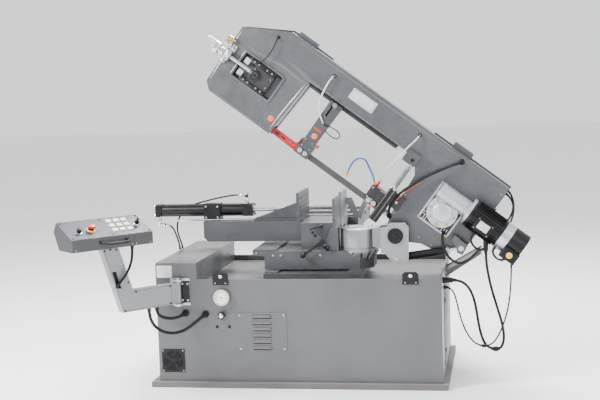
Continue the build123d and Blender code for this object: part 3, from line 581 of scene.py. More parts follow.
cord("vise_hose_rear", "vise_hoses", "base", mm([(-399.5, 95, 1018), (-440, 105, 1019), (-490, 120, 1012),
    (-540, 136, 1003), (-590, 146, 992), (-640, 150, 980), (-690, 152, 968), (-736, 152, 950),
    (-778, 152, 922), (-808, 152, 886), (-822, 150, 844), (-822, 146, 802), (-810, 140, 762),
    (-794, 134, 726), (-790, 133, 697)]), 10, RUBBER)
cord("vise_hose_left", "vise_hoses", "base", mm([
    (-879.5, 92, 847), (-858, 92, 844), (-838, 92, 832), (-824, 91, 810), (-814, 90, 784),
    (-804, 88, 756), (-796, 87, 728), (-793, 86.5, 697)]), 10, RUBBER)
cord("pendant_lead", "pendant_cables", "pendant", on_arm([
    (306, 837, 38), (309, 804, 40), (315, 770, 44), (326, 738, 46), (342, 708, 46), (362, 680, 44),
    (382, 656, 38), (396, 636, 26), (402, 624, 15)]), 15, RUBBER, "ribbed")
cord("pendant_conduit_near", "pendant_cables", "pendant", mm([
    (-745, -601, 478.5), (-745, -600, 450), (-736, -589, 426), (-714, -568, 410), (-688, -548, 402),
    (-662, -532, 402), (-640, -520, 408), (-625, -504, 415), (-621, -487, 416)]), 18, RUBBER, "ribbed",
    span=("pendant", "base"))
cord("pendant_conduit_far", "pendant_cables", "pendant", mm([
    (-777, -639, 478.5), (-776, -638, 440), (-768, -630, 400), (-750, -612, 364), (-720, -588, 336),
    (-682, -564, 322), (-642, -548, 324), (-604, -538, 338), (-570, -532, 360), (-540, -526, 384),
    (-516, -510, 404), (-507, -488, 409)]), 18, RUBBER, "ribbed", span=("pendant", "base"))
cord("guide_hose_line", "guide_hose", "bow", bows([(-794, 517, 193), (-796, 512, 206), (-799, 496, 213),
    (-799, 468, 215), (-795, 430, 215), (-788, 388, 215), (-774, 346, 215), (-752, 312, 215),
    (-724, 287, 214), (-696, 269, 212)]), 9, PALE_HOSE, span=("bow", "guide"))
cord("guide_loop", "guide_hose", "guide", bows([(-684, 262, 212), (-661, 271, 212), (-634, 277, 212),
    (-608, 279, 212), (-586, 275, 212), (-573, 263, 212), (-574, 247, 212), (-588, 237, 212),
    (-610, 233, 212), (-636, 235, 212), (-662, 241, 212)]), 6, RUBBER, boot=False)
cord("tension_lead", "bow_lines", "bow", bows([
    (-1177, 512, 190), (-1177, 508, 204), (-1173, 492, 214), (-1165, 460, 218), (-1161, 424, 220),
    (-1163, 388, 222), (-1170, 358, 221), (-1180, 338, 214), (-1186, 330, 204)]), 7, RUBBER)
cord("bow_conduit", "bow_lines", "bow", bows([
    (56, 540, 190), (48, 530, 212), (30, 506, 226), (6, 470, 230), (-22, 424, 228), (-52, 370, 226),
    (-78, 314, 226), (-100, 260, 230), (-118, 206, 236), (-124, 158, 240), (-122, 122, 238), (-114, 92, 226),
    (-102, 72, 208), (-92, 60, 190)]), 16, RUBBER, "ribbed")
cord("coolant_line", "bow_lines", "bow", bows([(-217, 526, 190), (-217, 518, 206), (-219, 494, 216),
    (-225, 462, 230), (-232, 430, 240), (-236, 392, 243), (-240, 352, 240), (-247, 312, 228),
    (-254, 276, 210), (-256, 242, 190), (-254, 212, 170), (-250, 185, 158)]), 9, PALE_HOSE)
cord("coolant_nozzle", "bow_lines", "bow", bows([(-262, 150, 152), (-284, 172, 144), (-312, 190, 124),
    (-342, 204, 120), (-370, 222, 119), (-396, 231, 120), (-420, 219, 120), (-434, 195, 121),
    (-438, 166, 122), (-434, 138, 124), (-428, 114, 126)]), 11, BLUE_HOSE, "beads",
    boot=False)
cord("gearbox_conduit", "bow_lines", "bow", bows([(204, 168, 210), (206, 156, 230), (218, 136, 246),
    (242, 112, 258), (272, 92, 266), (306, 80, 270), (342, 78, 273), (374, 90, 276), (392, 114, 279),
    (402, 146, 282), (408, 182, 284), (412, 222, 284)]), 15, RUBBER, "ribbed")
cord("motor_lead_front", "bow_lines", "bow", bows([
    (332, 270, 284), (334, 250, 286), (344, 230, 290), (364, 217, 296), (390, 212, 302), (416, 216, 300),
    (430, 232, 290)]), 12, RUBBER)
cord("motor_lead_rear", "bow_lines", "bow", bows([
    (470, 273, 300), (472, 256, 303), (484, 242, 310), (504, 236, 320), (524, 238, 332), (538, 248, 342),
    (544, 262, 348)]), 12, RUBBER)
cord("end_lead_upper", "bow_lines", "bow", bows([
    (352, 554, 130), (376, 550, 134), (404, 534, 146), (430, 508, 166), (450, 474, 194), (460, 442, 226),
    (462, 426, 248)]), 11, RUBBER)
cord("end_lead_lower", "bow_lines", "bow", bows([
    (352, 534, 112), (378, 532, 114), (408, 522, 120), (434, 498, 134), (446, 464, 158), (448, 434, 190),
    (446, 418, 222)]), 11, RUBBER)
cord("main_conduit_lower", "cable_lower", "base", mm([(846.5, -300, 569), (880, -300, 567),
    (912, -300, 552), (938, -300, 524), (956, -300, 486), (968, -300, 442), (976, -300, 396),
    (982, -299, 348), (990, -298, 300), (1001, -297, 255), (1018, -296, 214), (1046, -295, 190),
    (1072, -295, 185)]), 16, RUBBER, "ribbed", span=("base", "head"))
cord("thin_lead_lower", "cable_lower", "base", mm([(812.5, -232, 518), (836, -238, 510), (854, -246, 486),
    (866, -258, 446), (876, -270, 402), (888, -284, 356), (904, -296, 312), (924, -306, 270),
    (950, -314, 236), (980, -319, 214), (1010, -322, 209)]), 9, RUBBER, span=("base", "head"))
cord("main_conduit_upper", "cable_upper", "head", mm([(1075, -295, 185), (1100, -294, 189),
    (1116, -292, 214), (1122, -290, 256), (1116, -289, 306), (1104, -288, 358), (1088, -287, 412),
    (1072, -286, 468), (1056, -286, 526), (1044, -285, 584), (1035, -285, 640), (1031, -284, 690),
    (1030.4, -284, 731)]), 16, RUBBER, "ribbed", span=("head", "bow"))
cord("thin_lead_upper", "cable_upper", "head", mm([
    (1012.5, -322, 209), (1042, -325, 212), (1072, -329, 236), (1098, -333, 280), (1120, -337, 334),
    (1138, -341, 392), (1151, -344, 454), (1159, -347, 518), (1163, -349, 580), (1165, -350, 630),
    (1166, -350, 659.5)]), 9, RUBBER, span=("head", "bow"))

# ---- bow: tension window, slide and screw
piece("window_rim", "bow", BOW_PAINT, (rim(283, 181, 18, 9, 22), at(slide4, 43.5, 45.5, 94)))
piece("window_floor", "bow", BOW_PAINT, (plate(94, 140, 8, 4), at(slide4, 118, 45.5, 64)),
    (plate(84, 140, 8, 4), at(slide4, -35, 45.5, 64)))
several("window_blocks", "bow", ALLOY, plate(34, 36, 26, 4, 2), [at(slide4, -52, y, 72) for y in (84, 8)])
several("rail_screws", "bow", STEEL, socket_screw(6, 5),
    [at(slide4, x, y, 108) for x in (-11, 19, 75, 107) for y in (-14, 105)])
several("rail_plates", "bow", ENAMEL, plate(166, 27, 2, 3), [at(slide4, 48, y, 107.6) for y in (-14, 105)])
piece("slide_nut", "tension", ENAMEL, (lathe([(30.5, 0), (30.5, 13), (27, 16), (19, 17), (18, 13),
    (8, 13), (8, 17), (0, 17)], 40), at(slide4, 32, 44, 114)))
several("slide_grooves", "tension", SEAM, plate(120, 3, 0.6, 1, 0.2),
    [at(slide4, 69, y, 113.8) for y in (10, 81)])
several("slide_screws", "tension", STEEL, socket_screw(5, 5),
    [at(slide4, x, y, 114) for x, y in ((15, 73), (120, 18), (120, 73))])
piece("screw_block_face", "bow", ALLOY, (plate(34, 60, 5, 4), at(screw4, 145, 34, 58)),
    (plate(30, 46, 12, 3), at(screw4, 150, 79, 10)), (plate(26, 22, 10, 3), at(screw4, 136, -7, 10)))
several("screw_block_bolts", "bow", STEEL, socket_screw(5, 5), [at(screw4, 145, y, 63) for y in (13, 55)],
    (hexagon(17, 9), at(screw4, 150, 85, 22)), (hexagon(14, 8), at(screw4, 136, -7, 20)))
for k, (y, h, r, mat) in enumerate(((119, 32, 15, BRASS), (89, 36, 14, CHROME))):
    grip = [(5, -22), (5, 0), (r, 0), (r, 4), (r - 2, 5), (r - 2, 7), (r, 8), (r, 24), (r - 3, 27), (0, 27)]
    piece(f"limit_knob_{k + 1}", "bow", mat, (lathe(grip, 24), along(place(screw4, 118, y, h), -e1)))
piece("handwheel_rim", "screw", CHROME, (lathe([(31, 0), (35, 2), (36.5, 8), (36.5, 20), (35, 26), (31, 29),
    (26, 24), (10, 22), (10, 8), (26, 6)], 40), along(place(screw4, 54, 34, 34), e1)))
piece("crank_grip", "screw", TURNED, (lathe([(5, 0), (9, 3), (10.5, 14), (9, 24), (7, 28), (0, 29)],
    24), along(place(screw4, 26, 58, 34), -e1)))


def embossed(name, points, width, height):
    """Low rounded bead that follows a line on the front face."""
    line = even(smooth_line([place(skin4, x, y) for x, y in points]), 0.01)
    total = sum((b - a).length for a, b in zip(line, line[1:]))
    pts, faces = [], []
    profile = [(-1, -0.4), (-0.8, 0.12), (-0.5, 0.55), (-0.2, 0.92), (0.2, 0.92), (0.5, 0.55), (0.8, 0.12),
        (1, -0.4)]
    run = 0.0
    for i, v in enumerate(line):
        if i:
            run += (v - line[i - 1]).length
        tangent = (line[min(i + 1, len(line) - 1)] - line[max(i - 1, 0)]).normalized()
        side = tangent.cross(-Y).normalized()
        k = max(0.02, math.sin(math.pi * run / total)) ** 0.6
        pts += [tuple(v + side * (a * width / 2 * MM * k) - Y * (b * height * MM * k)) for a, b in profile]
    n = len(profile)
    for i in range(len(line) - 1):
        faces += [[i * n + k, i * n + k + 1, (i + 1) * n + k + 1, (i + 1) * n + k] for k in range(n - 1)]
    return piece(name, "bow", BOW_PAINT, ((pts, faces), WORLD), smooth=80)


embossed("press_crease_upper", [(90, 416), (225, 436), (320, 452), (400, 440), (470, 436), (496, 444)], 46, 5)
embossed("press_crease_lower", [(320, 476), (390, 486), (470, 476), (520, 468), (620, 468)], 40, 4)
embossed("beam_top_roll", [(250, 604), (480, 606), (880, 605), (1280, 604), (1720, 602)], 22, 3)
embossed("beam_low_roll", [(500, 463), (680, 464), (980, 464), (1190, 463)], 18, 2.5)
embossed("head_end_roll", [(14, 136), (13, 244), (12, 374), (14, 474)], 20, 3)
embossed("head_low_roll", [(50, 93), (180, 94), (320, 94), (450, 94)], 20, 3)
embossed("head_throat_roll", [(454, 104), (461, 204), (471, 324), (479, 434)], 18, 3)

# ---- bow: blank plates, round marks, grommets and bolts
piece("beam_plate", "bow", BLANK, (plate(160, 66, 2.2, 5), at(skin4, 795, 541)))
piece("beam_plate_border", "bow", ENAMEL, (rim(150, 56, 1.6, 0.8, 4), at(skin4, 795, 541, 2.1)))
piece("head_mark", "bow", ORANGE, (lathe([(17, 0), (17, 0.6), (16.4, 0.9), (0, 0.9)], 32),
    at(skin4, 427, 158)))
piece("line_grommets", "bow", BLACK, *[(lathe([(r, 0), (r, 3), (r * 0.8, 5), (r * 0.6, 5)], 24),
    at(skin4, x, y)) for x, y, r in ((586, 561, 11), (203, 556, 9), (1436, 584, 17), (1163, 570, 11),
    (1288, 104, 15))])
several("beam_bolts", "bow", STEEL, socket_screw(4, 3),
    [at(skin4, x, y) for x, y in ((1296, 136), (1296, 194), (1288, 254), (1400, 74), (1440, 68),
    (1490, 106), (1570, 110), (1700, 224), (1714, 564))])
piece("rail_lip", "bow", ENAMEL, (plate(606, 10, 1.5, 2), at(skin4, 797, 446, -16)))

# ---- bow: right guide with its damper
several("damper_tubes", "bow", ENAMEL, lathe([(9, 0), (13, 3), (13, 208), (9, 211)], 28),
    [along(place(right4, x, 3, 144), e2) for x in (103, 129)])
piece("damper_caps", "bow", CHROME, (plate(46, 12, 2, 2), at(right4, 116, 211, 152.5)),
    (lathe([(8, 0), (8, 14), (5, 16), (0, 16)], 24), along(place(right4, 111, 215, 134), e2)))
turns, per_turn, coil_r, coil_length, coil = 15, 16, 13.2, 134, []
for k in range(turns * per_turn + 1):
    a = k * math.tau / per_turn
    coil.append(place(right4, 111 + coil_r * math.cos(a), 223 + k * coil_length / (turns * per_turn),
        132 + coil_r * math.sin(a)))
piece("damper_spring", "bow", STEEL, (sweep(coil, 0.0018, 8), WORLD), smooth=80)
piece("damper_bracket_bolt", "bow", BLACK, (socket_screw(9, 7), at(right4, 102, 400, 136)))
piece("damper_bracket_face", "bow", CAST_PAINT, (plate(78, 72, 2, 6), at(right4, 90, 406, 136)))
several("guide_screws_right", "bow", STEEL, socket_screw(6, 6),
    [at(right4, x, y, 84) for x, y in ((13, 83), (13, 143), (43, 83), (73, 69))])
several("guide_rollers_right", "bow", TURNED, lathe([(6, 0), (14, 0), (15, 1), (15, 9), (14, 10), (9, 10),
    (9, 11), (0, 11)], 32), [at(right4, x, 71, 84) for x in (31, 65)])
piece("coolant_valve", "bow", RED, (lathe([(8.5, 0), (9.5, 2), (9.5, 24), (7.5, 28), (0, 28)], 20),
    along(place(right4, 21, 159, 58), e2)), (plate(58, 9, 3, 3), at(right4, 62, 53, 84)))
piece("guide_fittings", "bow", CHROME, (hexagon(18, 14), at(right4, 153, 67, 124)),
    (hexagon(16, 10), at(right4, 167, 157, 124)))
piece("nozzle_tip", "bow", ORANGE, (lathe([(7, -4), (8, 0), (7, 6), (4, 22), (2.6, 24), (0, 24)], 20),
                                    along(bow(-428, 114, 126), bow(-428, 114, 126) - bow(-434, 138, 124))),
      (lathe([(8, -4), (8.5, 0), (8.5, 10), (6, 13), (0, 13)], 20),
       along(bow(-262, 150, 152), bow(-284, 172, 144) - bow(-262, 150, 152))))
piece("conduit_tracer", "bow", TAPE, (sweep(even(smooth_line(bows([(-60, 318, 234), (-78, 280, 236),
    (-96, 236, 242), (-106, 196, 247), (-110, 164, 250)])), 0.008), 0.0028, 10), WORLD),
    smooth=80)
several("conduit_ties", "bow", BLACK, lathe([(8.2, -3), (10.5, -2.5), (10.5, 2.5), (8.2, 3)], 20),
    [along(bow(*p), bow(*q) - bow(*p)) for p, q in (((-22, 424, 228), (-52, 370, 226)),
    ((-109, 233, 233), (-118, 206, 236)))])

# ---- left guide arm
piece("arm_clamp_bolt", "guide", STEEL, (lathe([(14, 0), (14, 3), (0, 3)], 28), at(guide4, 51, 346, 118)),
    (hexagon(19, 11), at(guide4, 51, 346, 121)))
piece("arm_slot_shadow", "guide", SEAM, (plate(12, 86, 0.6, 5, 0.2), at(guide4, 38.5, 304, 83.5)))
piece("arm_mark", "guide", ORANGE, (lathe([(17, 0), (17, 0.6), (16.4, 0.9), (0, 0.9)], 32),
    at(guide4, 53, 139, 106)))
piece("arm_strip", "guide", RED, (plate(46, 12, 0.8, 2, 0.3), at(guide4, 48, 178, 106)))
piece("arm_knob", "guide", RED, (lathe([(5, -4), (5, 6), (11, 7), (12, 12), (11, 20), (6, 23), (0, 23)],
    12), along(place(guide4, 88, 100, 95), e1)))
several("arm_screws", "guide", STEEL, socket_screw(5.5, 5),
    [at(guide4, x, y, 106) for x, y in ((23, 60), (73, 60), (23, 98), (69, 98))])
several("guide_rollers_left", "guide", TURNED, lathe([(6, 0), (13, 0), (14, 1), (14, 9), (13, 10), (8, 10),
    (8, 11), (0, 11)], 32), [at(guide4, x, 26, 84) for x in (27, 63)])
piece("guide_block_cover", "guide", ENAMEL, (plate(88, 26, 3, 3), at(guide4, 45, 64, 84)))
several("guard_slots", "guide", BLACK, plate(26, 8, 0.8, 3.5, 0.2), [at(guard4, x, 24, 3) for x in (39, 81)])
several("guard_screws", "guide", STEEL, socket_screw(4.5, 3), [at(guard4, x, 24, 3) for x in (153, 129)])

# ---- gearbox and motor
piece("gear_cover", "bow", ALLOY, (lathe([(84.5, 0), (84.5, 8), (81, 9), (81, 16), (84.3, 17), (84.3, 20),
    (54, 20.4), (52, 24), (51, 31), (47, 34), (0, 34)], 64), at(gear4, 97, 111, 86)))
several("gear_bolts", "bow", BRASS, hexagon(12.6, 7), [at(gear4,
    97 + 70 * math.cos(math.radians(10 + 45 * k)), 111 + 70 * math.sin(math.radians(10 + 45 * k)), 106)
    for k in range(8)], *[(socket_screw(6, 6), at(gear4, x, y, 20)) for x in (7, 195) for y in (7, 238)])
piece("worm_fins", "bow", ALLOY, (lathe([(47, 0)] + [(r, 6 + 11 * k + d) for k in range(15)
    for r, d in ((47, 0), (50.5, 1.2), (50.5, 4), (47, 5.2))] + [(47, 176)], 48),
    along(place(gear4, 21, 203, 80), e1)))
several("gear_ribs", "bow", ALLOY, plate(4, 30, 12, 1),
    [at(gear4, x, 25, 14) for x in (29, 43, 151, 165, 179)],
    *[(plate(30, 4, 12, 1), at(gear4, 25, y, 14)) for y in (39, 53, 169, 183)])
piece("gear_recess", "bow", DARK_STEEL, (plate(180, 223, 1, 3), at(gear4, 101, 122.5, 14.2)))
several("motor_flange_bolts", "bow", BRASS, hexagon(11, 8),
    [along(place(motor4, 0, 70 * math.cos(a), 70 * math.sin(a)), e1)
    for a in (math.radians(45 + 90 * k) for k in range(4))])
piece("fan_band", "bow", TURNED, (lathe([(79, 0), (81, 0.6), (81, 50), (79, 51)], 64),
    along(place(motor4, 203, 0, 0), e1)))
piece("fan_vents", "bow", BLACK, *[(lathe([(r, 0), (r, 1.6), (r + 5, 1.6), (r + 5, 0)], 48),
    along(place(motor4, 343, 0, 0), e1)) for r in (20, 36, 52)],
    (lathe([(79, -3), (76, 0.8), (70, 1.2), (70, 0)], 48), along(place(motor4, 343, 0, 0), e1)))
piece("motor_lid", "bow", ENAMEL, (plate(98, 72, 4, 5), at(motor4, 100, -19, 86)))
piece("motor_blank_plate", "bow", BLANK, (plate(64, 44, 1, 3, 0.3), at(motor4, 100, -17, 90)))
several("motor_lid_screws", "bow", BRASS, socket_screw(3.5, 3),
    [at(motor4, 100 + sx * 42, -19 + sy * 29, 90) for sx in (-1, 1) for sy in (-1, 1)])
piece("brake_lid", "bow", ENAMEL, (plate(86, 56, 4, 5), at(motor4, 300, -60, 90)))
piece("brake_mark", "bow", YELLOW, (plate(34, 34, 0.8, 16.5, 0.2), at(motor4, 300, -60, 94)))
several("motor_screws", "bow", STEEL, socket_screw(4, 4),
    [along(place(motor4, 228, 81 * math.cos(a), 81 * math.sin(a)),
    Vector(e2 * math.cos(a) - Y * math.sin(a))) for a in (math.radians(30 + 60 * k) for k in range(6))])
piece("lift_eye", "bow", ENAMEL, (lathe([(6, 0), (6, 8), (10, 9), (10, 14), (0, 14)], 20),
    along(place(motor4, 98, 80, 0), e2)))

# ---- pivot, turntable and lift cylinder
piece("pivot_cap", "head", BLACK, (lathe([(42, 0), (42, 12), (40, 15), (33, 16), (31, 13), (16, 13),
    (14, 17), (6, 17.5), (0, 17.5)], 48), facing("-Y", tip.x, turntable_lo.y, tip.z)),
    *[(plate(3, 5, 13, 0.8), facing("-Y", tip.x, turntable_lo.y, tip.z,
    10 * k) @ Matrix.Translation((42, 0, 0))) for k in range(36)])
piece("pivot_bolts", "head", STEEL, (lathe([(15, 0), (15, 3), (0, 3)], 28),
    facing("-Y", lift_pin.x, turntable_lo.y, lift_pin.z)),
    (hexagon(20, 12), facing("-Y", lift_pin.x, turntable_lo.y - 3, lift_pin.z)),
    *[(socket_screw(5, 4), facing("-Y", tip.x + dx, turntable_lo.y, tip.z + dz))
    for dx, dz in ((-35, 36), (53, 56), (55, -110), (-37, -90))])
cone = [(60, 652), (63, 653), (108.5, 716), (108.5, 722), (60, 722)]
piece("drum_skirt", "base", ALLOY, (lathe(cone, 72), facing("+Z", swivel.x, swivel.y, 0)),
    *[(stack([(66, -4), (112, -4), (112, 4), (66, 4)], [(712, 0), (718, 0)]),
    facing("+Z", swivel.x, swivel.y, 0, 360 / 14 * k)) for k in range(14)])
piece("drum_scale", "head", BLACK, *[(plate(0.9, 7 if k % 5 else 12, 0.5, 0.3, 0.1),
    along(Vector((swivel.x + 104 * math.cos(a), swivel.y + 104 * math.sin(a),
    swivel.z + (13 if k % 5 else 15.5))) * MM, (math.cos(a), math.sin(a), 0))) for k in range(61)
    for a in (math.radians(-150 + 2 * k),)])
piece("drum_band", "head", TURNED, (lathe([(103, 0), (105, 1), (105, 9), (103, 10)], 72),
    facing("+Z", swivel.x, swivel.y, swivel.z + 114)))
several("drum_bolts", "head", STEEL, socket_screw(7, 7),
    [facing("+Z", swivel.x + 78 * math.cos(a), swivel.y + 78 * math.sin(a), swivel.z + 123)
    for a in (math.radians(20 + 60 * k) for k in range(6))])
lift_dir = Vector(joints["lift_stroke"]["axis"])
piece("barrel_bands", "barrel", TURNED, (lathe([(22, 0), (23.5, 1), (23.5, 9), (22, 10)], 40),
    along(lift_pin * MM + lift_dir * 0.034, lift_dir)), (lathe([(22, 0), (23.5, 1), (23.5, 16), (20, 18),
    (12, 18), (11, 16)], 40), along(lift_pin * MM + lift_dir * 0.275, lift_dir)))
piece("rod_clevis", "bow", TURNED, (lathe([(15, 0), (15, 4), (9, 5), (9, 9), (0, 9)], 28),
    at(skin4, 1712, 200, 52)))

# ---- bed, jaws and vise
several("bed_bolts", "base", STEEL, socket_screw(7, 7),
    [facing("-Y", x, -215, z) for x, z in ((-260, 714), (-164, 700), (-120, 700), (107, 700), (300, 700))])
piece("bed_clamp_strips", "base", IRON, (plate(132, 6, 3, 1), facing("-Y", -216, -215, 730)),
      (plate(470, 4, 2, 1), facing("-Y", 60, -215, 717)), (plate(470, 3, 2, 1), facing("-Y", 60, -215, 622)))
several("jaw_screws", "base", BLACK, socket_screw(7, 1.6),
    [facing("-X", jaw_plate.x, y, bed_hi.z + z) for y in (-84, 20, 120) for z in (35, 135)])
several("moving_jaw_screws", "jaw_moving", BLACK, socket_screw(7, 1.6),
    [facing("+X", moving_plate.x, y, bed_hi.z + z) for y in (-50, 20, 190, 255) for z in (35, 135)])
several("moving_jaw_lines", "jaw_moving", SEAM, plate(356, 1.6, 0.5, 0.5, 0.1),
    [facing("+X", moving_plate.x, 100, bed_hi.z + z) for z in (60, 85, 110)])
several("jaw_base_bolts", "jaw_moving", STEEL, hexagon(16, 8),
    [facing("+Z", moving_plate.x + dx, y, bed_hi.z + 13) for dx in (-260, -200) for y in (60, 140)])
several("front_jaw_screws", "jaw_front", BLACK, socket_screw(7, 1.6),
    [facing("-X", jaw_plate.x, y, bed_hi.z + z) for y in (-340, -250, -160) for z in (35, 125)])
piece("jaw_guide_pins", "jaw_front", BLACK, (sweep([Vector(v) * MM
    for v in ((52, -222, 848), (76, -224, 856), (104, -226, 862), (116, -226, 864))], 0.0062, 12),
    WORLD), (lathe([(6, -6), (11, -4), (12, 2), (10, 8), (0, 10)], 20),
    facing("+X", 118, -226, 864)), (sweep([Vector(v) * MM
    for v in ((120, -224, 748), (136, -226, 741), (150, -226, 736))], 0.0062, 12), WORLD),
    (lathe([(6, -6), (11, -4), (12, 2), (10, 8), (0, 10)], 20), facing("+X", 150, -226, 736)),
    (socket_screw(8, 5), facing("-Y", 84, -229, 812)), (socket_screw(8, 5), facing("-Y", 70, -229, 829)))
piece("clamp_hub", "jaw_clamp", BLACK, (lathe([(16, 0), (17, 2), (17, 9), (13, 12), (9, 12), (8, 9),
    (0, 9)], 28), facing("-Y", 116, -255.5, 770)), (lathe([(9, 0), (14, 4), (15, 14), (12, 24), (6, 28),
    (0, 28)], 24), facing("-Y", 12, -236, 702)))
several("vise_tie_bolts", "base", STEEL, hexagon(13, 8),
    [facing(d, x, vise_y + sy * 27, vise_z + sz * 27) for d, x in (("-X", vise_lo.x), ("+X", vise_hi.x))
    for sy in (-1, 1) for sz in (-1, 1)])
several("vise_tie_rods", "base", ENAMEL, lathe([(4, 0), (4, 500)], 14),
    [facing("+X", vise_lo.x + 36, vise_y + sy * 30, vise_z + sz * 30) for sy in (-1, 1) for sz in (-1, 1)])
piece("vise_seal", "base", TURNED, (lathe([(12.6, 0), (22, 0), (22, 5), (19, 7), (12.6, 7)], 36),
    facing("+X", vise_hi.x, vise_y, vise_z)))
piece("vise_fittings", "base", CHROME, (hexagon(24, 14),
    facing("+Z", vise_hi.x - 42, vise_y, vise_hi.z - 63)),
    (lathe([(11, 0), (11, 22), (9.6, 24), (9.6, 38), (11, 40), (11, 51), (0, 52)], 24),
    facing("+Z", vise_hi.x - 42, vise_y, vise_hi.z - 49)),
    (lathe([(7.6, 0), (8.6, 1), (8.6, 18), (7.6, 19)], 20),
    facing("-X", vise_hi.x - 51, vise_y, vise_hi.z - 12)),
    (lathe([(9.5, 0), (10, 1), (10, 56), (9.5, 58)], 20),
    facing("+Z", vise_lo.x + 18, vise_y, vise_lo.z + 0.5)),
    (lathe([(6.6, 0), (7.6, 1), (7.6, 24), (6.6, 25)], 20),
    along(Vector((vise_lo.x + 24, vise_y - 3, vise_lo.z + 11)) * MM, X)))
several("vise_mount_bolts", "base", STEEL, socket_screw(7, 6),
    [facing("-Y", x, vise_lo.y, z) for x in (-615, -545) for z in (vise_lo.z + 54, vise_lo.z + 119)])
piece("vise_mount_face", "base", ENAMEL, (plate(96, 98, 2, 4),
    facing("-Y", -580, vise_lo.y + 0.5, vise_lo.z + 85)))
piece("hose_sleeves", "base", CHROME, (lathe([(6, 0), (7, 1), (7, 22), (6, 24)], 20),
    along(Vector((-402, 95, 1018)) * MM, (-40, 10, 1))),
    (lathe([(6, 0), (7, 1), (7, 22), (6, 24)], 20), along(Vector((-878, 92, 847)) * MM, (21, 0, -3))))
rail_left, rail_right = corners("roller_frame")
for k in range(3):
    _, y, z = joint_at(f"roller_{k + 1}_spin")
    several(f"roller_ends_{k + 1}", "base", ENAMEL, lathe([(14, 0), (14, 3), (9, 5), (0, 5)], 24),
        [facing(d, x, y, z) for d, x in (("-X", rail_left.x), ("+X", rail_right.x))])

# ---- cabinet front
piece("gauge_bezel", "base", CREAM, (lathe([(44.5, 0), (45.5, 3), (44.5, 7), (41, 8.6), (36.5, 8),
    (35.6, 4), (35.6, 0)], 64), at(gauge4, 0, 0, -8)))
piece("gauge_dial", "base", DIAL, (lathe([(35.5, 0), (35.5, 0.8), (0, 0.8)], 64),
    at(gauge4, 0, 0, -5)))
piece("gauge_ticks", "base", BLACK, *[(plate(1.1, 4 if k % 5 else 7, 0.4, 0.3, 0.1),
    at(gauge4, 0, 0, -4.2, 130 - k * 260 / 40) @ Matrix.Translation((0, 29, 0)))
    for k in range(41)], (lathe([(4, 0), (4, 1.6), (3, 2.2), (0, 2.2)], 24),
    at(gauge4, 0, 0, -4.2)))
piece("gauge_needle", "base", RED, (stack([(-1.4, -7), (1.4, -7), (0.7, 26), (-0.7, 26)], [(0, 0), (0.8, 0)]),
                                    at(gauge4, 0, 0, -3.6, 74)))
piece("valve_cap", "valve", CHROME, (lathe([(12, 0), (12, 2), (9, 4), (0, 4.4)], 28),
    facing("-Y", valve.x, corners("valve_knob")[0].y, valve.z)))
several("cabinet_plugs", "base", BLACK, lathe([(9, 0), (9, 2), (7, 4), (0, 4.4)], 24),
    [facing("-Y", gauge.x + dx, front, gauge.z - 168) for dx in (-36, 34)])
piece("cabinet_blank_plate", "base", BLANK, (plate(87, 68, 1.2, 4, 0.4),
    facing("-Y", cabinet_lo.x + 52, front, cabinet_hi.z - 47)))
several("cabinet_plate_rivets", "base", TURNED, lathe([(2.6, 0), (2.4, 1), (0, 1.6)], 12),
    [facing("-Y", cabinet_lo.x + 52 + sx * 38, front - 1.2, cabinet_hi.z - 47 + sz * 28) for sx in (-1, 1)
    for sz in (-1, 1)])
several("bracket_bolts", "base", CHROME, lathe([(10, 0), (10, 2), (7, 5), (0, 6)], 24),
    [facing("-Y", x + 43.5, plates_lo.y + 2, plates_lo.z + 46) for x in (plates_lo.x, plates_hi.x - 87)])
several("bracket_screws", "base", STEEL, socket_screw(4, 3),
    [facing("-Y", x + dx, plates_lo.y, plates_lo.z + 10) for x in (plates_lo.x, plates_hi.x - 87)
    for dx in (14, 73)])
several("louvre_hoods", "base", CABINET, stack([(-53, -7), (53, -7), (53, 7), (-53, 7)],
    [(0, 0), (5, 2), (8, 5)]), [facing("-Y", louvre_lo.x + 136, front - 3, louvre_lo.z + 22 + 34.8 * k)
    for k in range(6)])
several("louvre_slits", "base", SEAM, plate(104, 5, 0.6, 1, 0.2),
    [facing("-Y", louvre_lo.x + 136, front - 3, louvre_lo.z + 10 + 34.8 * k) for k in range(6)])
several("panel_screws", "base", STEEL, socket_screw(6, 3),
    [facing("-Y", x, front - 6, z) for x in (louvre_lo.x + 14, louvre_hi.x - 14)
    for z in (louvre_lo.z + 14, louvre_hi.z - 14)])
several("fan_screws", "base", STEEL, socket_screw(4, 3),
    [facing("-Y", fan.x + sx * 57, fan_front, fan.z + sz * 57) for sx in (-1, 1) for sz in (-1, 1)])
piece("fan_shadow", "base", SEAM, (lathe([(57, 0), (57, 0.3), (0, 0.3)], 48), fan4))
several("fan_blades", "base", BLACK, stack([(10, -5), (54, -14), (54, 10), (10, 5)], [(0, 0), (1.4, 0)]),
    [at(fan4, 0, 0, 0.4, 72 * k + 12) for k in range(5)],
    (lathe([(14, 0), (13, 2), (0, 2.4)], 28), at(fan4, 0, 0, 0.4)))

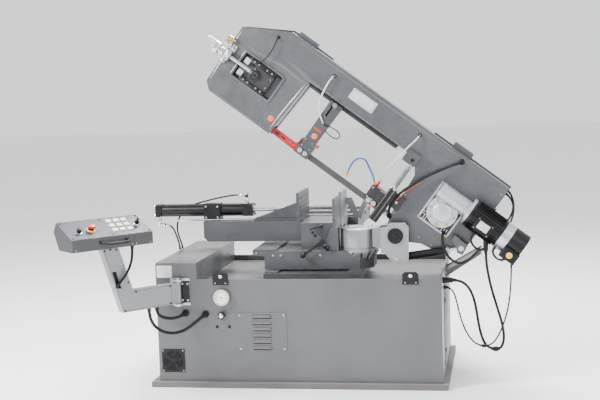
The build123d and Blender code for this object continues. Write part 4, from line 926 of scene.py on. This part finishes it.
# ---- cabinet sides and back
piece("side_door", "base", CABINET, (plate(620, 440, 3, 6), facing("+X", cabinet_hi.x, 60, 300)),
      (plate(560, 400, 3, 6), facing("-X", cabinet_lo.x, 40, 300)))
several("side_door_locks", "base", BLACK, lathe([(13, 0), (13, 3), (9, 6), (0, 6)], 28),
    [facing(d, x, y, z) for d, x, y in (("+X", cabinet_hi.x + 3, -210), ("-X", cabinet_lo.x - 3, -200))
    for z in (160, 440)])
several("back_doors", "base", CABINET, plate(600, 430, 3, 6),
    [facing("+Y", x, back, 300) for x in (-420, 380)])
several("back_vents", "base", SEAM, plate(150, 7, 0.6, 3, 0.2),
    [facing("+Y", x, back + 3, 200 + 22 * k) for x in (-420, 380) for k in range(8)])
several("back_door_handles", "base", BLACK, plate(30, 90, 6, 8),
    [facing("+Y", x, back + 3, 330) for x in (-160, 120)],
    *[(lathe([(9, 0), (9, 6), (5, 8), (0, 8)], 24), facing("+Y", x, back + 9, 350)) for x in (-160, 120)])
several("back_hinges", "base", STEEL, lathe([(6, 0), (6, 60)], 16),
    [facing("+Z", x, back + 2, z) for x in (-722, 682) for z in (130, 410)])
chute_lo, chute_hi = corners("chip_chute")
chute_mid = (chute_lo.y + chute_hi.y) / 2
several("chute_bolts", "base", STEEL, hexagon(13, 6), [facing("+X", cabinet_hi.x,
    chute_mid + side * ((chute_hi.y - chute_lo.y) / 2 + 18), chute_lo.z + z) for side in (-1, 1)
    for z in (30, 110)])
several("chute_flanges", "base", CABINET, plate(28, 150, 1.5, 2),
    [facing("+X", cabinet_hi.x, chute_mid + side * ((chute_hi.y - chute_lo.y) / 2 + 14.5), chute_lo.z + 72)
    for side in (-1, 1)])
several("gland_nuts", "base", BLACK, hexagon(38, 9), [facing("-Y", x, front, z)
    for x, z in ((-621, 416), (-507, 410))], (hexagon(34, 10), facing("+X", cabinet_hi.x, -300, 569)),
    (hexagon(22, 8), facing("+X", cabinet_hi.x, -232, 518)))
piece("coupling_sleeve", "head", BLACK, (lathe([(9, 0), (14, 2), (14, 26), (9, 28)], 28),
    along(Vector((1062, -295, 186)) * MM, (25, 0.5, 1))),
    (lathe([(5, 0), (9, 2), (9, 26), (5, 28)], 28), along(Vector((999, -322, 209)) * MM, (25, -0.5, 0.5))))

# ---- back covers
for body, node, spots, grip_x, grip_y in (
    ("door_left", "left_cover", ((96, 89), (386, 79)), 256, 299),
    ("door_right", "right_cover", ((100, 80), (460, 170)), 270, 300),
):
    cover4 = corner_of(node)
    out4 = cover4 @ Matrix.Rotation(math.pi, 4, "X")
    several(f"{body}_latches", body, CHROME, plate(34, 22, 5, 4), [at(out4, x, -y) for x, y in spots],
        *[(lathe([(9, 0), (9, 8), (6, 10), (0, 10)], 24), at(out4, x, -y)) for x, y in spots])
    piece(f"{body}_grip", body, BLACK, (sweep(even(smooth_line([
        place(cover4, grip_x + dx, grip_y, h) for dx, h in (
            (-60, 2), (-60, -14), (-56, -24), (-30, -26), (30, -26), (56, -24), (60, -14), (60, 2))
    ]), 0.006), 0.007, 16), WORLD), smooth=80)
    piece(f"{body}_panel", body, BOW_PAINT, (plate(300, 260, 2.5, 30), at(out4, grip_x, 10 - grip_y)))

# ---- control pendant
piece("panel_face_left", "pendant", PENDANT, (plate(2, 176, 1, 0.5, 0.2), at(panel4, 262, 90)),
      (plate(480, 3, 1, 0.5, 0.2), at(panel4, 244, 3.5)), (plate(480, 3, 1, 0.5, 0.2), at(panel4, 244, 176)),
      (plate(3, 172, 1, 0.5, 0.2), at(panel4, 3.5, 90)), (plate(3, 172, 1, 0.5, 0.2), at(panel4, 484, 90)))
several("panel_screws", "pendant", BLACK, socket_screw(4.5, 3),
    [at(panel4, x, y) for x in (14, 250, 474) for y in (14, 166)])
piece("stop_collar", "pendant", YELLOW, (lathe([(12, 0), (25, 0), (25, 3), (22, 5), (12, 5)], 40),
    at(panel4, 152, 78)))
piece("stop_neck", "pendant", BLACK, (lathe([(12, 5), (17, 5), (17, 11), (12, 11)], 32), at(panel4, 152, 78)))
piece("stop_dome", "stop", RED, (lathe([(20.5, 0), (21.5, 3), (21.5, 9), (18, 13.6), (10, 15.4), (0, 16)],
    40), at(panel4, 152, 78, 18)))
piece("selector_collar", "pendant", CHROME, (lathe([(14, 0), (18, 0), (18, 2.5), (16, 4), (14, 4)], 32),
    at(panel4, 74, 66)))
piece("key_collar", "pendant", CHROME, (lathe([(15, 0), (21, 0), (21, 3), (18, 7), (15, 7)], 32),
    at(panel4, 437, 86)))
piece("key_bow", "key", BRASS, (lathe([(8.6, -1.2), (9, 0), (8.6, 1.2), (4, 1.2), (4, -1.2)], 28),
    panel4 @ Matrix.Translation((437, 86, 36)) @ Matrix.Rotation(math.pi / 2, 4, "Y")))
several("signal_lamps", "pendant", RED, lathe([(3, 0), (3, 1.5), (1.8, 2.8), (0, 3)], 16),
    [at(panel4, x, 150) for x in (414, 440)])
front4 = axes(panel4.translation, across, Z, arm_out)
piece("pendant_grip", "pendant", BLACK, (sweep(even(smooth_line([front4 @ Vector(p)
    for p in ((172, -26, -2), (172, -27, 12), (175, -31, 26), (190, -34, 33), (220, -35, 35),
    (280, -35, 35), (310, -34, 33), (325, -31, 26), (328, -27, 12), (328, -26, -2))]), 0.005), 0.0075, 18),
    WORLD), smooth=80)
several("pendant_grip_feet", "pendant", BLACK, plate(24, 20, 3, 5), [at(front4, x, -26) for x in (172, 328)])
piece("pendant_seams", "pendant", SEAM, (plate(1.4, 62, 0.5, 0.3, 0.1), at(front4, 372, -32)))
several("pendant_front_screws", "pendant", STEEL, socket_screw(4, 2.5),
    [at(front4, x, -56) for x in (20, 360, 384, 470)])
several("arm_cover_screws", "pendant", BLACK, socket_screw(5, 4),
    [at(arm4, x, z, 22) for x, z in ((66, 584), (66, 489), (286, 582), (356, 489), (396, 822), (432, 826),
    (466, 822), (330, 640))])
piece("arm_cover_edge", "pendant", SEAM, *[(sweep([arm4 @ Vector(p) for p in run], 0.0007, 8),
    WORLD) for run in (((58, 486, 22), (200, 486, 22), (362, 486, 22)),
    ((58, 587, 22), (180, 587, 22), (296, 587, 22)), ((362, 486, 22), (420, 660, 22), (472, 829, 22)),
    ((296, 587, 22), (340, 716, 22), (380, 829, 22)), ((58, 486, 22), (58, 540, 22), (58, 587, 22)))])
piece("arm_opening", "pendant", SEAM, (stack(
    [(373, 614), (399, 614), (426, 704), (401, 704)], [(10.2, 0), (10.8, 0)]), arm4))
piece("hinge_block", "base", BLACK, (plate(48, 122, 3, 3),
    facing("-Y", bracket_hi.x - 25, front - 8, bracket_hi.z - 80)))
several("hinge_bolts", "base", STEEL, socket_screw(6, 6),
    [facing("-Y", bracket_hi.x - 25 + sx * 15, front - 11, bracket_hi.z - 80 + sz * 46) for sx in (-1, 1)
    for sz in (-1, 1)], (lathe([(13, 0), (13, 3), (0, 3)], 24),
    facing("+Z", hinge.x / MM, hinge.y / MM, bracket_hi.z - 2)))

# ---- blade teeth on the straight run
cut_from, cut_to, tooth_w = -758, -152, 6
wheel_y, wheel_r, wheel_gap, half_blade = 262, 205, 0.3, 0.65
blade_y = wheel_y - wheel_r - wheel_gap - half_blade
root, point, blade_mid, half_tooth = blade_y - 16.5, blade_y - 19.4, 120, 0.6
teeth = []
for k in range(int((cut_to - cut_from) / tooth_w)):
    x = cut_from + tooth_w * k
    teeth.append((stack([(x, root), (x + tooth_w, root), (x + 5.2, point)],
        [(blade_mid - half_tooth, 0), (blade_mid + half_tooth, 0)]), bow_frame4))
piece("blade_teeth", "bow", STEEL, *teeth)

# ---- studio
floor = piece("studio_floor", None, FLOOR, (plate(60000, 60000, 2, 100, 0.5), facing("+Z", 0, 8000, -2.2)))
world = bpy.data.worlds.new("studio")
world.use_nodes = True
world.node_tree.nodes["Background"].inputs[0].default_value = (0.97, 0.98, 1.0, 1)
world.node_tree.nodes["Background"].inputs[1].default_value = 1.35
bpy.context.scene.world = world
for name, spot, size, power, aim in (
    ("key", (-3.2, -2.6, 3.6), 1.3, 560, (-0.1, 0, 1.0)),
    ("fill", (4.6, -3.2, 2.2), 1.6, 150, (0.3, 0, 0.8)),
    ("top", (0.4, 1.6, 4.4), 2.2, 520, (0, 0, 0.6)),
):
    lamp = bpy.data.lights.new(name, "AREA")
    lamp.energy, lamp.size = power, size
    o = bpy.data.objects.new(name, lamp)
    bpy.context.collection.objects.link(o)
    o.location = spot
    o.rotation_mode = "QUATERNION"
    o.rotation_quaternion = (Vector(aim) - Vector(spot)).to_track_quat("-Z", "Y")
